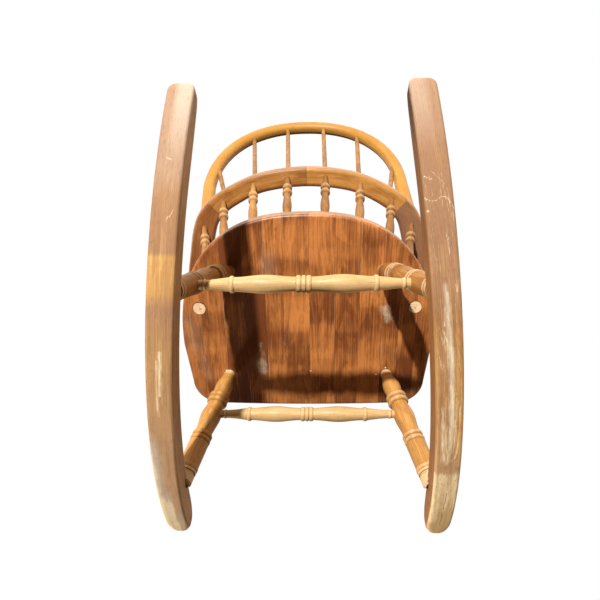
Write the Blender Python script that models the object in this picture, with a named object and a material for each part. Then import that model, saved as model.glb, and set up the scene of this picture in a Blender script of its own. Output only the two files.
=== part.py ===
"""Spindle-back rocking chair in oak.

Two sawn rockers carry four turned legs and an edge-glued seat. Turned spindles and posts carry a low arm
rail, sawn in four pieces, and plain dowels carry a bent bow above it.

Lengths are in metres. The chair frame has X to the sitter's left, Y to the rear and Z up, square to the
seat, with its origin under the lowest point of the rockers. The whole chair then leans back about the
rockers' centre of curvature, to the angle at which it balances.
"""
import math

import bmesh
import bpy
from mathutils import Vector

# Stance and fits
SEAT_TILT = math.radians(7.4)
FIT_GAP = 0.0003
SOCKET_LEAD = 0.012
EDGE_LIMIT_RATIO = 0.45
SHARP_ANGLE = math.radians(40)

# Rockers
ROCKER_RADIUS = 0.729
ROCKER_THICKNESS = 0.042
ROCKER_HEIGHT = 0.045
ROCKER_INSET = 0.0527
ROCKER_TOE_IN = 0.090
ROCKER_FRONT_REACH = 0.357
ROCKER_REAR_REACH = 0.481
ROCKER_EDGE = 0.006
ROCKER_TAPER_LENGTH = 0.130
ROCKER_END_HEIGHT = 0.030
ROCKER_NOSE_LENGTH = 0.036
ROCKER_NOSE_ROUND = 0.0165
ROCKER_NOSE_ROUND_LENGTH = 0.032
ROCKER_TIP_LIFT = 0.010
ROCKER_TIP_LIFT_LENGTH = 0.018
ROCKER_FACET = math.radians(2.4)
ROCKER_NOSE_STEPS = 4
ROCKER_NOSE_BLUNT_RATIO = 0.3

# Seat
SEAT_UNDERSIDE = 0.3273
SEAT_THICKNESS = 0.041
SEAT_HALF_WIDTH = 0.277
SEAT_WIDEST_Y = -0.050
SEAT_REAR_Y = 0.241
SEAT_REAR_FULLNESS = 2.45
SEAT_FRONT_Y = -0.211
SEAT_CORNER_INSET = 0.011
SEAT_CORNER_Y = -0.207
SEAT_CORNER_RADIUS = 0.060
SEAT_LOWER_EDGE = 0.006
SEAT_UPPER_EDGE = 0.010
SADDLE_DEPTH = 0.009
SADDLE_RIM = 0.045
SADDLE_SLOPE = 0.090
SADDLE_STEPS = 3
POMMEL_WIDTH = 0.060
SEAT_REAR_STEPS = 24
SEAT_CORNER_STEPS = 6
LEFT_STAVE_WIDTHS = (0.046, 0.051, 0.046, 0.046)
MIDDLE_SEAMS = (0.049, -0.006, -0.061)
RIGHT_STAVE_WIDTHS = (0.039, 0.038, 0.036, 0.050)

# Legs
LEG_FRONT_TOP_INSET = 0.0975
LEG_FRONT_TOP_Y = -0.128
LEG_FRONT_FOOT_Y = -0.196
LEG_FRONT_FOOT_INSET = 0.013
LEG_REAR_TOP_INSET = 0.1152
LEG_REAR_TOP_Y = 0.1232
LEG_REAR_FOOT_Y = 0.1785
LEG_REAR_FOOT_INSET = 0.0
LEG_TENON_DEPTH = 0.026
LEG_TOP_DIAMETER = 0.025
LEG_VASE_LENGTH = 0.060
LEG_VASE_DIAMETER = 0.038
LEG_VASE_PEAK_RATIO = 0.6
LEG_NECK_DIAMETER = 0.034
LEG_BEAD_LENGTH = 0.013
LEG_UPPER_BEAD_DIAMETER = 0.044
LEG_BELLY_LENGTH = 0.076
LEG_BELLY_DIAMETER = 0.042
LEG_BELLY_PEAK_RATIO = 0.4
LEG_LOWER_BEAD_LENGTH = 0.011
LEG_LOWER_BEAD_DIAMETER = 0.041
LEG_SHAFT_DIAMETER = 0.039
LEG_ANKLE_DIAMETER = 0.038
LEG_RING_LENGTH = 0.004
LEG_RING_DIAMETER = 0.034
LEG_RING_HEIGHT = 0.008
LEG_FOOT_DIAMETER = 0.037
LEG_FOOT_CHAMFER = 0.004
LEG_FOOT_LAP = 0.012
LEG_FOOT_TENON_DIAMETER = 0.012
LEG_FOOT_TENON_DEPTH = 0.022
LEG_SIDES = 12

# Stretchers
STRETCHER_FRONT_DROP = 0.1155
STRETCHER_REAR_DROP = 0.1970
STRETCHER_SHORT_OF_AXIS = 0.005
STRETCHER_TENON_LENGTH = 0.024
STRETCHER_RING_LENGTH = 0.0087
STRETCHER_RING_DIAMETER = 0.030
STRETCHER_WAIST_DIAMETER = 0.025
STRETCHER_BELLY_LENGTH = 0.104
STRETCHER_BELLY_DIAMETER = 0.0322
STRETCHER_COLLAR_LENGTH = 0.008
STRETCHER_COLLAR_DIAMETER = 0.0295
STRETCHER_CONE_LENGTH = 0.024
STRETCHER_CONE_DIAMETER = 0.019
STRETCHER_END_DIAMETER = 0.0155
STRETCHER_SIDES = 10

# Arm rail: (across, to the rear, width) along its centre line, from the middle of the back to the arm tip
RAIL_PATH = (
    (0.000, 0.2825, 0.047),
    (0.0745, 0.2765, 0.047),
    (0.1385, 0.2605, 0.047),
    (0.2090, 0.2240, 0.050),
    (0.2455, 0.1900, 0.054),
    (0.2640, 0.1490, 0.057),
    (0.2810, 0.0710, 0.058),
    (0.2930, 0.0000, 0.064),
    (0.3060, -0.0780, 0.074),
)
RAIL_HEIGHT = 0.232
RAIL_THICKNESS = 0.032
RAIL_EDGE = 0.011
RAIL_JOINT = 0.248
ARM_TIP_ROUND = 0.040
RAIL_STEPS = 11
ARM_STEPS = 9
ARM_TIP_STEPS = 5
ARM_TIP_BLUNT_RATIO = 0.4
RAIL_SAMPLE_STEPS = 12

# Arm spindles and posts
SPINDLE_FIRST = 0.046
SPINDLE_SPACING = 0.086
SPINDLES_PER_SIDE = 4
SPINDLE_INSET = 0.030
SPINDLE_SPREAD_RATIO = 1.10
SPINDLE_FOOT_DIAMETER = 0.012
SPINDLE_BELLY_DIAMETER = 0.0205
SPINDLE_BELLY_PEAK_RATIO = 0.6
SPINDLE_NECK_DIAMETER = 0.0155
SPINDLE_BEAD_LENGTH = 0.017
SPINDLE_BEAD_DIAMETER = 0.0225
SPINDLE_BEAD_GAP = 0.006
SPINDLE_TIP_LENGTH = 0.034
SPINDLE_TIP_DIAMETER = 0.0115
SPINDLE_SEAT_DEPTH = 0.018
SPINDLE_RAIL_DEPTH = 0.016
SPINDLE_COLLAR = 0.005
SPINDLE_SIDES = 8
POST_FOOT_INSET = 0.0436
POST_FOOT_Y = 0.0382
POST_SPACING = 0.112
POST_TENON_DIAMETER = 0.028
POST_COLLAR = 0.010
POST_BEAD_LENGTH = 0.012
POST_BEAD_DIAMETER = 0.035
POST_UPPER_BEAD_DIAMETER = 0.030
POST_VASE_DIAMETER = 0.036
POST_VASE_PEAK_RATIO = 0.4
POST_NECK_DIAMETER = 0.022
POST_TIP_LENGTH = 0.040
POST_TIP_DIAMETER = 0.019
POST_ARM_DEPTH = 0.018
POST_SIDES = 10

# Bow of the back, and its dowels
BOW_FOOT_Y = 0.1896
BOW_LEAN = math.radians(27.5)
BOW_FOOT_HALF_SPAN = 0.257
BOW_HALF_SPAN = 0.2595
BOW_SHIFT = 0.0075
BOW_SPRING = 0.110
BOW_RISE = 0.301
BOW_FULLNESS = 2.2
BOW_WIDTH = 0.033
BOW_DEPTH = 0.034
BOW_EDGE = 0.0148
BOW_STEPS = 26
BOW_TENON_DIAMETER = 0.016
BOW_TENON_DEPTH = 0.020
DOWEL_BEARINGS = (math.radians(10.55), math.radians(31.81), math.radians(67.73))
DOWEL_DIAMETER = 0.012
DOWEL_RAIL_DEPTH = 0.014
DOWEL_SHORT_OF_BOW_AXIS = 0.002
DOWEL_SIDES = 10

# Derived heights in the chair frame
SEAT_TOP = SEAT_UNDERSIDE + SEAT_THICKNESS
RAIL_UNDERSIDE = SEAT_UNDERSIDE + RAIL_HEIGHT
RAIL_TOP = RAIL_UNDERSIDE + RAIL_THICKNESS
SIDES = {"left": 1, "right": -1}


class Turning:
    """A turned profile, worked from one end to the other as (station, radius) points."""

    def __init__(self, diameter):
        self.points = [(0.0, diameter / 2)]

    @property
    def length(self):
        """Distance from the start to the last point."""
        return self.points[-1][0]

    @property
    def radius(self):
        """Radius at the last point."""
        return self.points[-1][1]

    def straight(self, length, diameter=None):
        """Run on at the same radius, or taper to a diameter."""
        radius = self.radius if diameter is None else diameter / 2
        self.points.append((self.length + length, radius))
        return self

    def step(self, diameter):
        """Change the diameter square to the axis."""
        self.points.append((self.length, diameter / 2))
        return self

    def swell(self, length, peak, end, peak_at=0.5, steps=5):
        """Rise smoothly to a peak diameter and fall to an end diameter."""
        start, base = self.length, self.radius
        for index in range(1, steps + 1):
            share = index / steps
            low = base if share < peak_at else end / 2
            angle = share / peak_at if share < peak_at else (1 - share) / (1 - peak_at)
            rise = (1 - math.cos(math.pi * angle)) / 2
            self.points.append((start + length * share, low + (peak / 2 - low) * rise))
        return self

    def bead(self, length, crown, steps=3):
        """Add a half-round ring that stands on the present radius."""
        start, base = self.length, self.radius
        for index in range(1, steps + 1):
            angle = math.pi * index / steps
            across = (1 - math.cos(angle)) / 2
            self.points.append((start + length * across, base + (crown / 2 - base) * math.sin(angle)))
        return self


def clear_scene():
    """Remove every object of the open file."""
    for item in list(bpy.data.objects):
        bpy.data.objects.remove(item, do_unlink=True)


def wood(name, colour, roughness):
    """Make a wood material."""
    material = bpy.data.materials.new(name)
    material.use_nodes = True
    shader = material.node_tree.nodes["Principled BSDF"]
    shader.inputs["Base Color"].default_value = (*colour, 1.0)
    shader.inputs["Roughness"].default_value = roughness
    shader.inputs["Metallic"].default_value = 0.0
    return material


def add_object(name, bm, material, parent):
    """Turn a bmesh into a named object that hangs on the chair frame."""
    bmesh.ops.recalc_face_normals(bm, faces=bm.faces)
    mesh = bpy.data.meshes.new(name)
    bm.to_mesh(mesh)
    bm.free()
    mesh.shade_smooth()
    mesh.set_sharp_from_angle(angle=SHARP_ANGLE)
    item = bpy.data.objects.new(name, mesh)
    bpy.context.scene.collection.objects.link(item)
    item.parent = parent
    if material:
        mesh.materials.append(material)
    return item


def stand_on(item, start, end):
    """Put an object's origin at start, with its Z axis towards end."""
    item.location = start
    item.rotation_euler = (end - start).to_track_quat("Z", "Y").to_euler()
    bpy.context.view_layer.update()


def along(start, end, distance):
    """Give the point at a distance from start on the line to end."""
    return start + (end - start).normalized() * distance


def spun(points, sides):
    """Spin (height, radius) points about Z and cap both ends."""
    bm = bmesh.new()
    verts = [bm.verts.new((radius, 0.0, height)) for height, radius in points]
    edges = [bm.edges.new(pair) for pair in zip(verts, verts[1:])]
    bmesh.ops.spin(bm, geom=verts + edges, axis=(0, 0, 1), cent=(0, 0, 0), angle=math.tau, steps=sides,
                   use_merge=True)
    rims = [edge for edge in bm.edges if edge.is_boundary]
    bmesh.ops.holes_fill(bm, edges=rims, sides=0)
    return bm


def swept(rings):
    """Loft a closed body through rings of points, with flat ends."""
    bm = bmesh.new()
    loops = [[bm.verts.new(point) for point in ring] for ring in rings]
    for loop, following in zip(loops, loops[1:]):
        for index in range(len(loop)):
            after = (index + 1) % len(loop)
            bm.faces.new((loop[index], loop[after], following[after], following[index]))
    bm.faces.new(loops[0])
    bm.faces.new(loops[-1])
    return bm


def rounded_section(width, depth, edge):
    """Give the points of a rectangle with rounded corners, about its middle."""
    edge = min(edge, EDGE_LIMIT_RATIO * width, EDGE_LIMIT_RATIO * depth)
    points = []
    for quarter, (right, up) in enumerate(((1, 1), (-1, 1), (-1, -1), (1, -1))):
        for step in range(3):
            angle = math.pi / 2 * (quarter + step / 2)
            points.append((right * (width / 2 - edge) + edge * math.cos(angle),
                           up * (depth / 2 - edge) + edge * math.sin(angle)))
    return points


def cut_flat(bm, point, normal):
    """Cut away what lies behind a plane and close the cut."""
    geometry = bm.verts[:] + bm.edges[:] + bm.faces[:]
    bmesh.ops.bisect_plane(bm, geom=geometry, plane_co=point, plane_no=normal, clear_inner=True)
    rims = [edge for edge in bm.edges if edge.is_boundary]
    bmesh.ops.triangle_fill(bm, edges=rims, use_beauty=True)


def helper_bar(name, start, end, diameter, sides, parent):
    """Make a hidden round bar from start to end, to cut or to join with."""
    length, radius = (end - start).length, diameter / 2
    bar = add_object(name, spun([(0.0, radius), (length, radius)], sides), None, parent)
    stand_on(bar, start, end)
    bar.hide_render = True
    bar.display_type = "WIRE"
    return bar


def combine(target, bar, operation):
    """Cut a helper bar out of a piece, or join it on."""
    modifier = target.modifiers.new(bar.name, "BOOLEAN")
    modifier.operation = operation
    modifier.object = bar


def drill(targets, start, end, diameter, sides):
    """Cut one round socket, with the fit's gap all round, into each piece that it meets."""
    wide = diameter + 2 * FIT_GAP / math.cos(math.pi / sides)
    bar = helper_bar("socket_" + targets[0].name, start, end, wide, sides, targets[0].parent)
    for target in targets:
        combine(target, bar, "DIFFERENCE")


def rocker_centre_x(y):
    """Half the rockers' spacing at a place along them, inside the seat's width: they close in to the rear."""
    return SEAT_HALF_WIDTH - ROCKER_INSET - ROCKER_TOE_IN * y


def rocker_point(radius, angle):
    """Give (y, z) at a radius and an angle about the rockers' centre of curvature."""
    return radius * math.sin(angle), ROCKER_RADIUS - radius * math.cos(angle)


def rocker_stations():
    """Give the angles along a rocker, with one facet level with the floor when the chair is at rest."""
    front = -math.asin(ROCKER_FRONT_REACH / ROCKER_RADIUS)
    rear = math.asin(ROCKER_REAR_REACH / ROCKER_RADIUS)
    nose = ROCKER_NOSE_LENGTH / ROCKER_RADIUS
    count = math.ceil((rear - front) / ROCKER_FACET)
    facets = [SEAT_TILT + (index + 0.5) * ROCKER_FACET for index in range(-count, count)]
    margin = nose + ROCKER_FACET / 2
    turns = [(step + ROCKER_NOSE_BLUNT_RATIO) / ROCKER_NOSE_STEPS for step in range(ROCKER_NOSE_STEPS)]
    shares = [1 - math.cos(math.pi / 2 * turn) for turn in turns]
    stations = [(front + nose * share, ROCKER_NOSE_LENGTH * share) for share in shares]
    for angle in facets:
        if front + margin < angle < rear - margin:
            stations.append((angle, ROCKER_RADIUS * min(angle - front, rear - angle)))
    return stations + [(rear - nose * share, ROCKER_NOSE_LENGTH * share) for share in reversed(shares)]


def quarter_round(distance, length):
    """Rise from 0 at a tip to 1 at a length from it, as a quarter of an ellipse does."""
    return math.sqrt(1 - max(1 - distance / length, 0.0) ** 2)


def rocker_ring(angle, distance, side, grow):
    """Give one cross-section of a rocker, at an angle along it and a distance from its nearer tip."""
    taper = min(distance / ROCKER_TAPER_LENGTH, 1.0)
    full = ROCKER_END_HEIGHT + (ROCKER_HEIGHT - ROCKER_END_HEIGHT) * math.sin(math.pi / 2 * taper)
    lift = ROCKER_TIP_LIFT * (1 - quarter_round(distance, ROCKER_TIP_LIFT_LENGTH))
    top = ROCKER_TIP_LIFT + (full - ROCKER_TIP_LIFT) * quarter_round(distance, ROCKER_NOSE_LENGTH)
    narrow = ROCKER_NOSE_ROUND * (1 - quarter_round(distance, ROCKER_NOSE_ROUND_LENGTH))
    section = rounded_section(ROCKER_THICKNESS - 2 * narrow + 2 * grow, top - lift + 2 * grow, ROCKER_EDGE)
    ring = []
    for across, up in section:
        y, z = rocker_point(ROCKER_RADIUS - (top + lift) / 2 - up, angle)
        ring.append((side * (rocker_centre_x(y) + across), y, z))
    return ring


def rocker_shape(side, grow=0.0):
    """Saw one rocker from a board that stands upright and toes in to the rear; grow adds to every face."""
    return swept([rocker_ring(angle, distance, side, grow) for angle, distance in rocker_stations()])


def rocker_envelope(name, side, parent):
    """Make a hidden rocker, larger by the fit's gap, to cope the feet of the legs with."""
    envelope = add_object("cope_" + name, rocker_shape(side, FIT_GAP), None, parent)
    envelope.hide_render = True
    envelope.display_type = "WIRE"
    return envelope


def arc_points(centre, radius, start, end, steps):
    """Give points on an arc between two angles."""
    angles = [start + (end - start) * step / steps for step in range(steps + 1)]
    return [(centre[0] + radius * math.cos(angle), centre[1] + radius * math.sin(angle)) for angle in angles]


def seat_rear_point(angle, inset):
    """Give the point on the rear edge of the seat, moved in by an inset, at an angle from straight back."""
    half = SEAT_HALF_WIDTH - inset
    depth = SEAT_REAR_Y - inset - SEAT_WIDEST_Y
    across, back = math.sin(angle), math.cos(angle)
    power = SEAT_REAR_FULLNESS
    reach = ((across / half) ** power + (back / depth) ** power) ** (-1 / power)
    return reach * across, SEAT_WIDEST_Y + reach * back


def seat_outline():
    """Give the seat's plan outline: a full round rear, nearly straight sides, rounded front corners."""
    power = 2 / SEAT_REAR_FULLNESS
    depth = SEAT_REAR_Y - SEAT_WIDEST_Y
    rear = []
    for step in range(SEAT_REAR_STEPS + 1):
        angle = math.pi * step / SEAT_REAR_STEPS
        across = math.copysign(abs(math.cos(angle)) ** power, math.cos(angle))
        rear.append((SEAT_HALF_WIDTH * across, SEAT_WIDEST_Y + depth * max(math.sin(angle), 0.0) ** power))
    corner_x = SEAT_HALF_WIDTH - SEAT_CORNER_INSET
    centre = (corner_x - SEAT_CORNER_RADIUS, SEAT_CORNER_Y + SEAT_CORNER_RADIUS)
    right = arc_points((-centre[0], centre[1]), SEAT_CORNER_RADIUS, math.pi, 1.5 * math.pi,
                       SEAT_CORNER_STEPS)
    left = arc_points(centre, SEAT_CORNER_RADIUS, -0.5 * math.pi, 0.0, SEAT_CORNER_STEPS)
    return rear + right + [(0.0, SEAT_FRONT_Y)] + left


def saddle_drop(x, y, share):
    """Give how far the top is hollowed, where share runs from 0 at the saddle's rim to 1 at its middle."""
    hollow = share * share * (3 - 2 * share)
    front = min(max(-y / abs(SEAT_FRONT_Y), 0.0), 1.0)
    pommel = front * math.exp(-(x / POMMEL_WIDTH) ** 2)
    return SADDLE_DEPTH * hollow * (1 - pommel)


def seat_rings():
    """Give the rings of the whole seat, from its underside round the edge to the hollow in its top."""
    outline = seat_outline()
    middle_y = (SEAT_REAR_Y + SEAT_FRONT_Y) / 2
    half_depth = (SEAT_REAR_Y - SEAT_FRONT_Y) / 2

    def ring(inset, height):
        wide = 1 - inset / SEAT_HALF_WIDTH
        deep = 1 - inset / half_depth
        return [(x * wide, middle_y + (y - middle_y) * deep, height) for x, y in outline]

    bevel = 1 - math.sqrt(0.5)
    rings = [ring(SEAT_LOWER_EDGE, SEAT_UNDERSIDE)]
    rings.append(ring(SEAT_LOWER_EDGE * bevel, SEAT_UNDERSIDE + SEAT_LOWER_EDGE * bevel))
    rings.append(ring(0.0, SEAT_UNDERSIDE + SEAT_LOWER_EDGE))
    rings.append(ring(0.0, SEAT_TOP - SEAT_UPPER_EDGE))
    rings.append(ring(SEAT_UPPER_EDGE * bevel, SEAT_TOP - SEAT_UPPER_EDGE * bevel))
    rings.append(ring(SEAT_UPPER_EDGE, SEAT_TOP))
    for step in range(SADDLE_STEPS + 1):
        share = step / SADDLE_STEPS
        inset = SADDLE_RIM + SADDLE_SLOPE * share
        rings.append([(x, y, z - saddle_drop(x, y, share)) for x, y, z in ring(inset, SEAT_TOP)])
    return rings


def stave_edges():
    """Give the seams between the staves, from the sitter's left to the right, with an end beyond each side."""
    left = [SEAT_HALF_WIDTH - sum(LEFT_STAVE_WIDTHS[:count + 1]) for count in range(len(LEFT_STAVE_WIDTHS))]
    right = []
    for count in range(len(RIGHT_STAVE_WIDTHS)):
        right.append(sum(RIGHT_STAVE_WIDTHS[:count + 1]) - SEAT_HALF_WIDTH)
    beyond = 2 * SEAT_HALF_WIDTH
    return [beyond, *left, *MIDDLE_SEAMS, *right[::-1], -beyond]


def build_seat(material, parent):
    """Glue up the seat: cut the whole shape into staves that run from front to rear."""
    staves = []
    edges = stave_edges()
    for index, (high, low) in enumerate(zip(edges, edges[1:]), start=1):
        bm = swept(seat_rings())
        cut_flat(bm, (low + FIT_GAP / 2, 0, 0), (1, 0, 0))
        cut_flat(bm, (high - FIT_GAP / 2, 0, 0), (-1, 0, 0))
        staves.append(add_object(f"seat_stave_{index}", bm, material, parent))
    return staves


def staves_near(staves, points, reach):
    """Pick the staves that lie within reach of any of some points."""
    picked = []
    for stave in staves:
        across = [vert.co.x for vert in stave.data.vertices]
        if any(min(across) - reach < point.x < max(across) + reach for point in points):
            picked.append(stave)
    return picked


def leg_line(front, side):
    """Give the two ends of a leg's axis, on the rocker's top and on the seat's underside."""
    top_x = SEAT_HALF_WIDTH - (LEG_FRONT_TOP_INSET if front else LEG_REAR_TOP_INSET)
    top_y = LEG_FRONT_TOP_Y if front else LEG_REAR_TOP_Y
    foot_y = LEG_FRONT_FOOT_Y if front else LEG_REAR_FOOT_Y
    inset = LEG_FRONT_FOOT_INSET if front else LEG_REAR_FOOT_INSET
    inner_radius = ROCKER_RADIUS - ROCKER_HEIGHT
    foot_z = ROCKER_RADIUS - math.sqrt(inner_radius ** 2 - foot_y ** 2)
    foot = Vector((side * (rocker_centre_x(foot_y) - inset), foot_y, foot_z))
    return foot, Vector((side * top_x, top_y, SEAT_UNDERSIDE))


def leg_profile(length):
    """Give a leg's turning as (height, radius) points, with height 0 on the seat's underside."""
    turning = Turning(LEG_TOP_DIAMETER)
    turning.straight(LEG_TENON_DEPTH + LEG_RING_LENGTH)
    turning.swell(LEG_VASE_LENGTH, LEG_VASE_DIAMETER, LEG_NECK_DIAMETER, LEG_VASE_PEAK_RATIO)
    turning.bead(LEG_BEAD_LENGTH, LEG_UPPER_BEAD_DIAMETER).bead(LEG_BEAD_LENGTH, LEG_UPPER_BEAD_DIAMETER)
    turning.swell(LEG_BELLY_LENGTH, LEG_BELLY_DIAMETER, LEG_NECK_DIAMETER, LEG_BELLY_PEAK_RATIO)
    for _ in range(2):
        turning.bead(LEG_LOWER_BEAD_LENGTH, LEG_LOWER_BEAD_DIAMETER)
    turning.step(LEG_SHAFT_DIAMETER)
    ankle = LEG_TENON_DEPTH + length - LEG_RING_HEIGHT - LEG_RING_LENGTH
    turning.straight(ankle - turning.length, LEG_ANKLE_DIAMETER)
    turning.step(LEG_RING_DIAMETER).straight(LEG_RING_LENGTH).step(LEG_FOOT_DIAMETER)
    turning.straight(LEG_RING_HEIGHT + LEG_FOOT_LAP - LEG_FOOT_CHAMFER)
    turning.straight(LEG_FOOT_CHAMFER, LEG_FOOT_DIAMETER - 2 * LEG_FOOT_CHAMFER)
    return [(LEG_TENON_DEPTH - station, radius) for station, radius in turning.points]


def build_leg(name, foot, top, rocker, envelope, staves, material, parent):
    """Turn one leg, cope its foot over the rocker and let its ends into rocker and seat."""
    leg = add_object(name, spun(leg_profile((top - foot).length), LEG_SIDES), material, parent)
    stand_on(leg, top, top + (top - foot))
    combine(leg, envelope, "DIFFERENCE")
    tenon_end = along(foot, top, -LEG_FOOT_TENON_DEPTH)
    tenon = helper_bar("tenon_" + name, tenon_end, along(foot, top, LEG_FOOT_TENON_DEPTH),
                       LEG_FOOT_TENON_DIAMETER, LEG_SIDES, parent)
    combine(leg, tenon, "UNION")
    drill([rocker], along(tenon_end, top, -FIT_GAP), along(foot, top, SOCKET_LEAD),
          LEG_FOOT_TENON_DIAMETER, LEG_SIDES)
    top_end = along(top, foot, -LEG_TENON_DEPTH)
    near = staves_near(staves, (top, top_end), LEG_TOP_DIAMETER)
    drill(near, along(top, foot, SOCKET_LEAD), along(top, foot, -LEG_TENON_DEPTH - FIT_GAP),
          LEG_TOP_DIAMETER, LEG_SIDES)
    return leg


def stretcher_profile(half_length):
    """Give a stretcher's turning along its axis, the same on both sides of its three middle rings."""
    half = Turning(STRETCHER_RING_DIAMETER)
    half.straight(STRETCHER_RING_LENGTH / 4).straight(STRETCHER_RING_LENGTH / 4, STRETCHER_WAIST_DIAMETER)
    half.bead(STRETCHER_RING_LENGTH, STRETCHER_RING_DIAMETER)
    half.swell(STRETCHER_BELLY_LENGTH, STRETCHER_BELLY_DIAMETER, STRETCHER_WAIST_DIAMETER)
    half.bead(STRETCHER_COLLAR_LENGTH, STRETCHER_COLLAR_DIAMETER)
    half.straight(STRETCHER_CONE_LENGTH, STRETCHER_CONE_DIAMETER)
    half.straight(half_length - STRETCHER_TENON_LENGTH - half.length, STRETCHER_END_DIAMETER)
    half.straight(STRETCHER_TENON_LENGTH)
    left = half.points
    right = [(-station, radius) for station, radius in reversed(left) if station > 0]
    return right + left


def build_stretcher(name, line, drop, legs, material, parent):
    """Turn a stretcher and let its ends into a pair of legs."""
    foot, top = line
    place = along(top, foot, drop)
    half_length = place.x - STRETCHER_SHORT_OF_AXIS
    stretcher = add_object(name, spun(stretcher_profile(half_length), STRETCHER_SIDES), material, parent)
    middle = Vector((0.0, place.y, place.z))
    across = Vector((1.0, 0.0, 0.0))
    stand_on(stretcher, middle, middle + across)
    mouth = half_length - STRETCHER_TENON_LENGTH
    for side, leg in legs.items():
        ends = sorted((side * mouth, side * (half_length + FIT_GAP)))
        start, end = (middle + across * distance for distance in ends)
        drill([leg], start, end, STRETCHER_END_DIAMETER, STRETCHER_SIDES)
    return stretcher


def rail_samples():
    """Sample the rail's centre line finely, by a smooth curve through its points.

    Each sample is the distance from the middle of the back, then x, y and width, then the outward direction.
    """
    second, before, last = RAIL_PATH[1], RAIL_PATH[-2], RAIL_PATH[-1]
    lead_in = (-second[0], second[1], second[2])
    lead_out = tuple(2 * end - prior for end, prior in zip(last, before))
    points = [Vector(point) for point in (lead_in, *RAIL_PATH, lead_out)]
    places = []
    for p0, p1, p2, p3 in zip(points, points[1:], points[2:], points[3:]):
        for step in range(RAIL_SAMPLE_STEPS):
            t = step / RAIL_SAMPLE_STEPS
            places.append(0.5 * (2 * p1 + (p2 - p0) * t + (2 * p0 - 5 * p1 + 4 * p2 - p3) * t ** 2
                                 + (3 * p1 - p0 - 3 * p2 + p3) * t ** 3))
    places.append(points[-2])
    mirrored = Vector((-places[1].x, places[1].y, places[1].z))
    samples = []
    distance = 0.0
    for prior, here, following in zip([mirrored] + places, places, places[1:] + [points[-2]]):
        distance += (here - prior).xy.length if samples else 0.0
        ahead = (following - prior).xy
        samples.append((distance, here, Vector((-ahead.y, ahead.x)).normalized()))
    return samples


RAIL_SAMPLES = rail_samples()
RAIL_LENGTH = RAIL_SAMPLES[-1][0]


def rail_place(distance):
    """Give the point, outward direction and width of the rail at a distance along its left half."""
    for low, high in zip(RAIL_SAMPLES, RAIL_SAMPLES[1:]):
        if distance <= high[0]:
            break
    share = (distance - low[0]) / (high[0] - low[0])
    here = low[1].lerp(high[1], share)
    return here.xy, low[2].lerp(high[2], share).normalized(), here.z


def rail_ring(distance, width_share, side):
    """Give one cross-section of the rail."""
    place, outward, width = rail_place(distance)
    ring = []
    for across, up in rounded_section(width * width_share, RAIL_THICKNESS, RAIL_EDGE):
        point = place + outward * across
        ring.append((side * point.x, point.y, RAIL_UNDERSIDE + RAIL_THICKNESS / 2 + up))
    return ring


def build_rail_back(name, side, material, parent):
    """Saw one half of the rail behind the sitter, from the glued middle joint to the arm's joint."""
    start, end = FIT_GAP / 2, RAIL_JOINT - FIT_GAP / 2
    stations = [start + (end - start) * step / RAIL_STEPS for step in range(RAIL_STEPS + 1)]
    return add_object(name, swept([rail_ring(station, 1.0, side) for station in stations]), material, parent)


def build_arm(name, side, material, parent):
    """Saw one arm, from its joint with the rail to its round tip."""
    start, round_start = RAIL_JOINT + FIT_GAP / 2, RAIL_LENGTH - ARM_TIP_ROUND
    rings = []
    for step in range(ARM_STEPS + 1):
        rings.append(rail_ring(start + (round_start - start) * step / ARM_STEPS, 1.0, side))
    for step in range(1, ARM_TIP_STEPS + 1):
        angle = math.pi / 2 * step / (ARM_TIP_STEPS + ARM_TIP_BLUNT_RATIO)
        rings.append(rail_ring(round_start + ARM_TIP_ROUND * math.sin(angle), math.cos(angle), side))
    return add_object(name, swept(rings), material, parent)


def spindle_ends(index, side):
    """Give where a spindle's axis meets the seat's top and the rail's underside."""
    place, _, _ = rail_place(SPINDLE_FIRST + index * SPINDLE_SPACING)
    angle = math.atan2(place.x, place.y - SEAT_WIDEST_Y) * SPINDLE_SPREAD_RATIO
    foot_x, foot_y = seat_rear_point(angle, SPINDLE_INSET)
    foot = Vector((side * foot_x, foot_y, SEAT_TOP))
    return foot, Vector((side * place.x, place.y, RAIL_UNDERSIDE))


def spindle_profile(length):
    """Give a spindle's turning as (height, radius) points, with height 0 on the seat's top."""
    turning = Turning(SPINDLE_FOOT_DIAMETER).straight(SPINDLE_SEAT_DEPTH + SPINDLE_COLLAR)
    beads = 2 * SPINDLE_BEAD_LENGTH + SPINDLE_BEAD_GAP
    belly = length - 2 * SPINDLE_COLLAR - beads - SPINDLE_TIP_LENGTH
    turning.swell(belly, SPINDLE_BELLY_DIAMETER, SPINDLE_NECK_DIAMETER, SPINDLE_BELLY_PEAK_RATIO)
    turning.bead(SPINDLE_BEAD_LENGTH, SPINDLE_BEAD_DIAMETER).straight(SPINDLE_BEAD_GAP)
    turning.bead(SPINDLE_BEAD_LENGTH, SPINDLE_BEAD_DIAMETER)
    turning.straight(SPINDLE_TIP_LENGTH, SPINDLE_TIP_DIAMETER).straight(SPINDLE_COLLAR + SPINDLE_RAIL_DEPTH)
    return [(station - SPINDLE_SEAT_DEPTH, radius) for station, radius in turning.points]


def build_spindle(name, foot, top, staves, rail_piece, material, parent):
    """Turn one arm spindle and let it into the seat and the rail."""
    spindle = add_object(name, spun(spindle_profile((top - foot).length), SPINDLE_SIDES), material, parent)
    stand_on(spindle, foot, top)
    low = along(foot, top, -SPINDLE_SEAT_DEPTH - FIT_GAP)
    near = staves_near(staves, (foot, low), SPINDLE_FOOT_DIAMETER)
    drill(near, low, along(foot, top, SOCKET_LEAD), SPINDLE_FOOT_DIAMETER, SPINDLE_SIDES)
    drill([rail_piece], along(top, foot, SOCKET_LEAD), along(top, foot, -SPINDLE_RAIL_DEPTH - FIT_GAP),
          SPINDLE_TIP_DIAMETER, SPINDLE_SIDES)
    return spindle


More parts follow.
